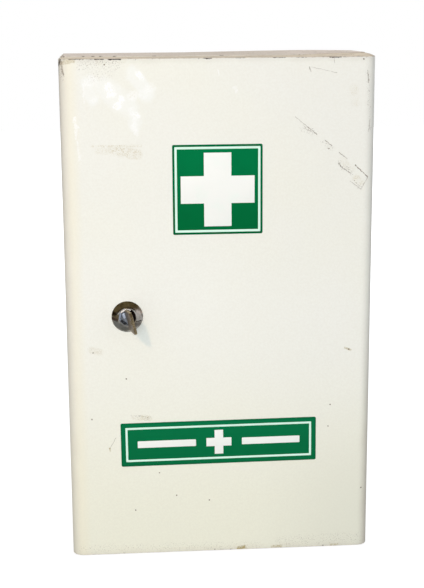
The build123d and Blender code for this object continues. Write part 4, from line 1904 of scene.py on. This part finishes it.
@dataclass
class Key(SubAssembly):
    """The flat key in the lock."""

    centre_x: float = LOCK_X
    plug_front: float = PLUG_FRONT
    sheet: float = 2.0
    sheet_edge: float = 0.25
    blade_height: float = 7.0
    blade_length: float = 17.0
    blade_overlap: float = 3.0
    stem: float = 6.0
    bow_length: float = 24.0
    bow_height: float = 22.4
    bow_drop: float = 0.9
    bow_corner: float = 4.5
    bow_steps: int = 10
    bow_sheet: float = 2.7
    bow_edge: float = 0.6
    ring_hole: float = 2.4
    ring_sides: int = 24
    notch: float = 1.5
    notch_shares: tuple[float, ...] = (0.3, 0.5, 0.7)
    lean: float = KEY_LEAN
    bend: float = 11.5
    bend_start: float = 1.0
    bend_run: float = 4.0
    bend_rows: int = 5

    def bent(self, form: Form, place: Matrix) -> Form:
        """Bends the bow a little to the right, as on a key that was leant on.

        Args:
            form: The flat key.
            place: Its plane.

        Returns:
            The bent key.
        """
        start = self.plug_front - self.bend_start
        sliced(form, 1, [start - step for step in range(self.bend_rows)])
        aside = Vector(place.col[2][:3])
        slope = math.tan(math.radians(self.bend))
        for vertex in form.verts:
            out = max(0.0, start - vertex.co.y)
            eased_out = max(0.0, out - self.bend_run / 2 * eased(out, 0.0, self.bend_run))
            vertex.co -= aside * slope * eased_out
        return form

    def blade(self) -> list[Point2]:
        """Gives the outline of the blade and stem, with its cuts.

        Returns:
            The points.
        """
        shoulder = -self.plug_front
        tip, end = shoulder - self.blade_length, shoulder + self.stem + self.blade_overlap
        half = self.blade_height / 2
        chamfer = self.blade_height / 3
        outline = [(tip, half - chamfer), (tip, -half + chamfer), (tip + chamfer, -half)]
        for share in self.notch_shares:
            cut = tip + self.blade_length * share
            outline += [(cut - self.notch, -half), (cut, -half + self.notch), (cut + self.notch, -half)]
        return outline + [(end, -half), (end, half), (tip + chamfer, half)]

    def bow(self) -> list[list[Point2]]:
        """Gives the outline of the bow and its ring hole.

        Returns:
            The two loops.
        """
        start = self.stem - self.plug_front
        middle = (start + self.bow_length / 2, -self.bow_drop)
        size, sides = (self.bow_length, self.bow_height), self.ring_sides
        outline = rounded_rectangle(size, self.bow_corner, middle, self.bow_steps)
        ring_middle = (start + self.bow_length - self.bow_corner, 0.0)
        return [outline, arc(ring_middle, self.ring_hole, 0, 360 - 360 / sides, sides - 1)]

    def build(self) -> None:
        """Builds and dresses the key."""
        turn = math.radians(self.lean)
        rows = (
            (0, -math.sin(turn), -math.cos(turn), self.centre_x),
            (-1, 0, 0, 0),
            (0, math.cos(turn), -math.sin(turn), 0),
            (0, 0, 0, 1),
        )
        place = Matrix(rows)
        blade = self.bent(plate([self.blade()], self.sheet, self.sheet_edge, place), place)
        grip = self.bent(plate(self.bow(), self.bow_sheet, self.bow_edge, place), place)
        self.add("key_cut", joined((blade, grip)), Body.KEY, Slot.KEY_METAL, ["key"])


@dataclass
class Hinges(SubAssembly):
    """The two butt hinges with their pins and rivets."""

    def build(self) -> None:
        """Dresses the hinges."""
        for end in ("upper", "lower"):
            self.dress(Slot.ZINC, f"case_leaf_{end}", f"door_leaf_{end}")
            self.dress(Slot.PIN_STEEL, f"hinge_pin_{end}")
        self.dress(Slot.RIVET, "case_rivets", "door_rivets")


@dataclass(frozen=True)
class Lamp:
    """A square soft light."""

    name: str
    place: Point3
    aim: Point3
    size: float
    watts: float
    colour: Point3 = (1.0, 1.0, 1.0)
    in_gloss: bool = False

    def build(self) -> None:
        """Hangs the lamp and turns it to its aim."""
        light = bpy.data.lights.new(self.name, "AREA")
        set_up(light, shape="SQUARE", size=self.size, energy=self.watts, color=self.colour)
        turn = (Vector(self.aim) - Vector(self.place)).to_track_quat("-Z", "Y")
        lamp = linked(self.name, light)
        set_up(lamp, location=self.place, rotation_euler=turn.to_euler(), visible_glossy=self.in_gloss)


@dataclass
class Studio:
    """Camera, floor, lights and surroundings. Its places are metres, and its shading's limits millimetres."""

    camera_place: Point3 = (-0.10075, -1.3685, 0.2918)
    camera_yaw: float = 4.356
    camera_pitch: float = 12.519
    camera_roll: float = -0.385
    lens: float = 78.784
    sensor: float = 36.0
    floor_z: float = -0.2473
    floor_size: float = 9.0
    floor_runs: int = 12
    floor_colour: Colour = (0.42, 0.42, 0.41, 1)
    floor_near: float = 0.74
    floor_far: float = 1.0
    floor_limits: Run = (500, 1500)
    ambient: float = 0.6
    sky: Colour = (0.94, 1.0, 1.06, 1)
    white: Colour = (1, 1, 1, 1)
    black: Colour = (0, 0, 0, 1)
    canopy_radius: float = 3.2
    canopy_rises: Span = (-5, 85, 9)
    canopy_turns: Span = (-165, 115, 10)
    canopy_low: Colour = srgb(46, 32, 20)
    canopy_high: Colour = srgb(98, 86, 58)
    canopy_cloud: Colour = srgb(64, 54, 34)
    canopy_beside: Colour = srgb(204, 194, 190)
    canopy_up: Run = (150, 900)
    canopy_clouds: Run = (0.35, 0.7, 0.0, 0.6)
    canopy_right: Run = (900, 1900)
    canopy_down: Run = (1500, 500)
    lamps: tuple[Lamp, ...] = (
        Lamp("flash", (-0.7, -1.65, 0.94), (0.0, -0.15, 0.0), 0.12, 8.0, (1.0, 0.68, 0.44)),
        Lamp("front_fill", (-0.3, -2.4, 0.3), (0.0, -0.1, -0.05), 1.1, 20.0, (0.92, 1.03, 1.1)),
        Lamp("high_fill", (-0.4, -1.1, 1.9), (0.0, -0.1, 0.0), 1.2, 4.0),
        Lamp("rear_fill", (0.3, 2.0, 1.2), (0.0, 0.0, 0.0), 1.4, 26.0),
    )

    def build(self) -> None:
        """Sets the camera, the floor, the lights and the world."""
        self.set_camera()
        self.lay_floor()
        self.hang_canopy()
        self.light_world()
        for lamp in self.lamps:
            lamp.build()
        bpy.context.scene.view_settings.view_transform = "Standard"

    def set_camera(self) -> None:
        """Places the camera at the photograph's viewpoint."""
        angles = (self.camera_yaw, self.camera_pitch, self.camera_roll)
        yaw, pitch, roll = (math.radians(angle) for angle in angles)
        level = Vector((math.cos(yaw), -math.sin(yaw), 0))
        forward = Vector((math.sin(yaw), math.cos(yaw), 0))
        ahead = math.cos(pitch) * forward - math.sin(pitch) * Vector((0, 0, 1))
        upright = level.cross(ahead)
        right = math.cos(roll) * level + math.sin(roll) * upright
        up = math.cos(roll) * upright - math.sin(roll) * level
        data = bpy.data.cameras.new("viewpoint")
        set_up(data, lens=self.lens, sensor_fit="AUTO", sensor_width=self.sensor)
        camera = linked("viewpoint", data)
        turn = Matrix((right, up, -ahead)).transposed()
        camera.matrix_world = Matrix.Translation(self.camera_place) @ turn.to_4x4()
        bpy.context.scene.camera = camera

    def lay_floor(self) -> None:
        """Lays the pale floor, which shows near white to the camera and still takes the shadow."""
        form = bmesh.new()
        runs = self.floor_runs
        bmesh.ops.create_grid(form, x_segments=runs, y_segments=runs, size=self.floor_size / 2)
        floor = stored("floor", form)
        floor.location = (0, 0, self.floor_z)
        nodes = Shading("pale_floor")
        far = nodes.vector("LENGTH", nodes.place)
        shown = nodes.ramp(far, *self.floor_limits, self.floor_near, self.floor_far)
        seen = nodes.product(shown, nodes.node("ShaderNodeLightPath").outputs["Is Camera Ray"])
        glow = {"Emission_Color": self.white, "Emission_Strength": seen}
        floor.data.materials.append(nodes.finish(Base_Color=self.floor_colour, Roughness=0.9, **glow))

    def hang_canopy(self) -> None:
        """Hangs a darker canopy in front of the object that only reflections see, as polished metal needs."""
        form = bmesh.new()
        rows = []
        turns = [math.radians(angle) for angle in spread(*self.canopy_turns)]
        for rise in (math.radians(angle) for angle in spread(*self.canopy_rises)):
            level, height = self.canopy_radius * math.cos(rise), self.canopy_radius * math.sin(rise)
            rows.append([form.verts.new((level * math.sin(a), -level * math.cos(a), height)) for a in turns])
        for low, high in zip(rows, rows[1:]):
            for index in range(len(low) - 1):
                form.faces.new((low[index], low[index + 1], high[index + 1], high[index]))
        canopy = stored("canopy", form)
        nodes = Shading("canopy_cloth")
        across, _, height = nodes.axes(nodes.place)
        beside = nodes.product(nodes.ramp(across, *self.canopy_right), nodes.ramp(height, *self.canopy_down))
        shade = nodes.layers(
            self.canopy_low,
            (nodes.ramp(height, *self.canopy_up), self.canopy_high),
            (nodes.mottle(900, 3, self.canopy_clouds), self.canopy_cloud),
            (beside, self.canopy_beside),
        )
        glow = {"Emission_Color": shade, "Emission_Strength": 1.0}
        canopy.data.materials.append(nodes.finish(Base_Color=self.black, Roughness=1.0, **glow))
        set_up(canopy, visible_camera=False, visible_diffuse=False, visible_transmission=False)
        canopy.visible_shadow = False

    def light_world(self) -> None:
        """Gives soft light all round, and white where the camera, gloss or glass sees the background."""
        world = bpy.data.worlds.new("studio")
        world.use_nodes = True
        bpy.context.scene.world = world
        graph = Graph(world.node_tree)
        soft, plain = (
            graph.node("ShaderNodeBackground", {"Color": colour, "Strength": strength}).outputs["Background"]
            for colour, strength in ((self.sky, self.ambient), (self.white, 1.0))
        )
        paths = graph.node("ShaderNodeLightPath").outputs
        seen = graph.most(paths["Is Camera Ray"], paths["Is Glossy Ray"])
        seen = graph.most(seen, paths["Is Transmission Ray"])
        mix = graph.node("ShaderNodeMixShader", [seen, soft, plain])
        graph.node("ShaderNodeOutputWorld", {"Surface": mix.outputs["Shader"]})


def main() -> None:
    """Builds the studio and every sub-assembly."""
    logging.basicConfig(level=logging.INFO, format="%(message)s")
    Studio().build()
    paints = {slot: finish.material() for slot, finish in FINISHES.items()}
    for group in (Case, Door, Signs, Lock, Key, Hinges):
        built = group(paints)
        built.build()
        LOG.info("%s: %d pieces of its own", group.__name__, len(built.made))


if __name__ == "__main__":
    main()
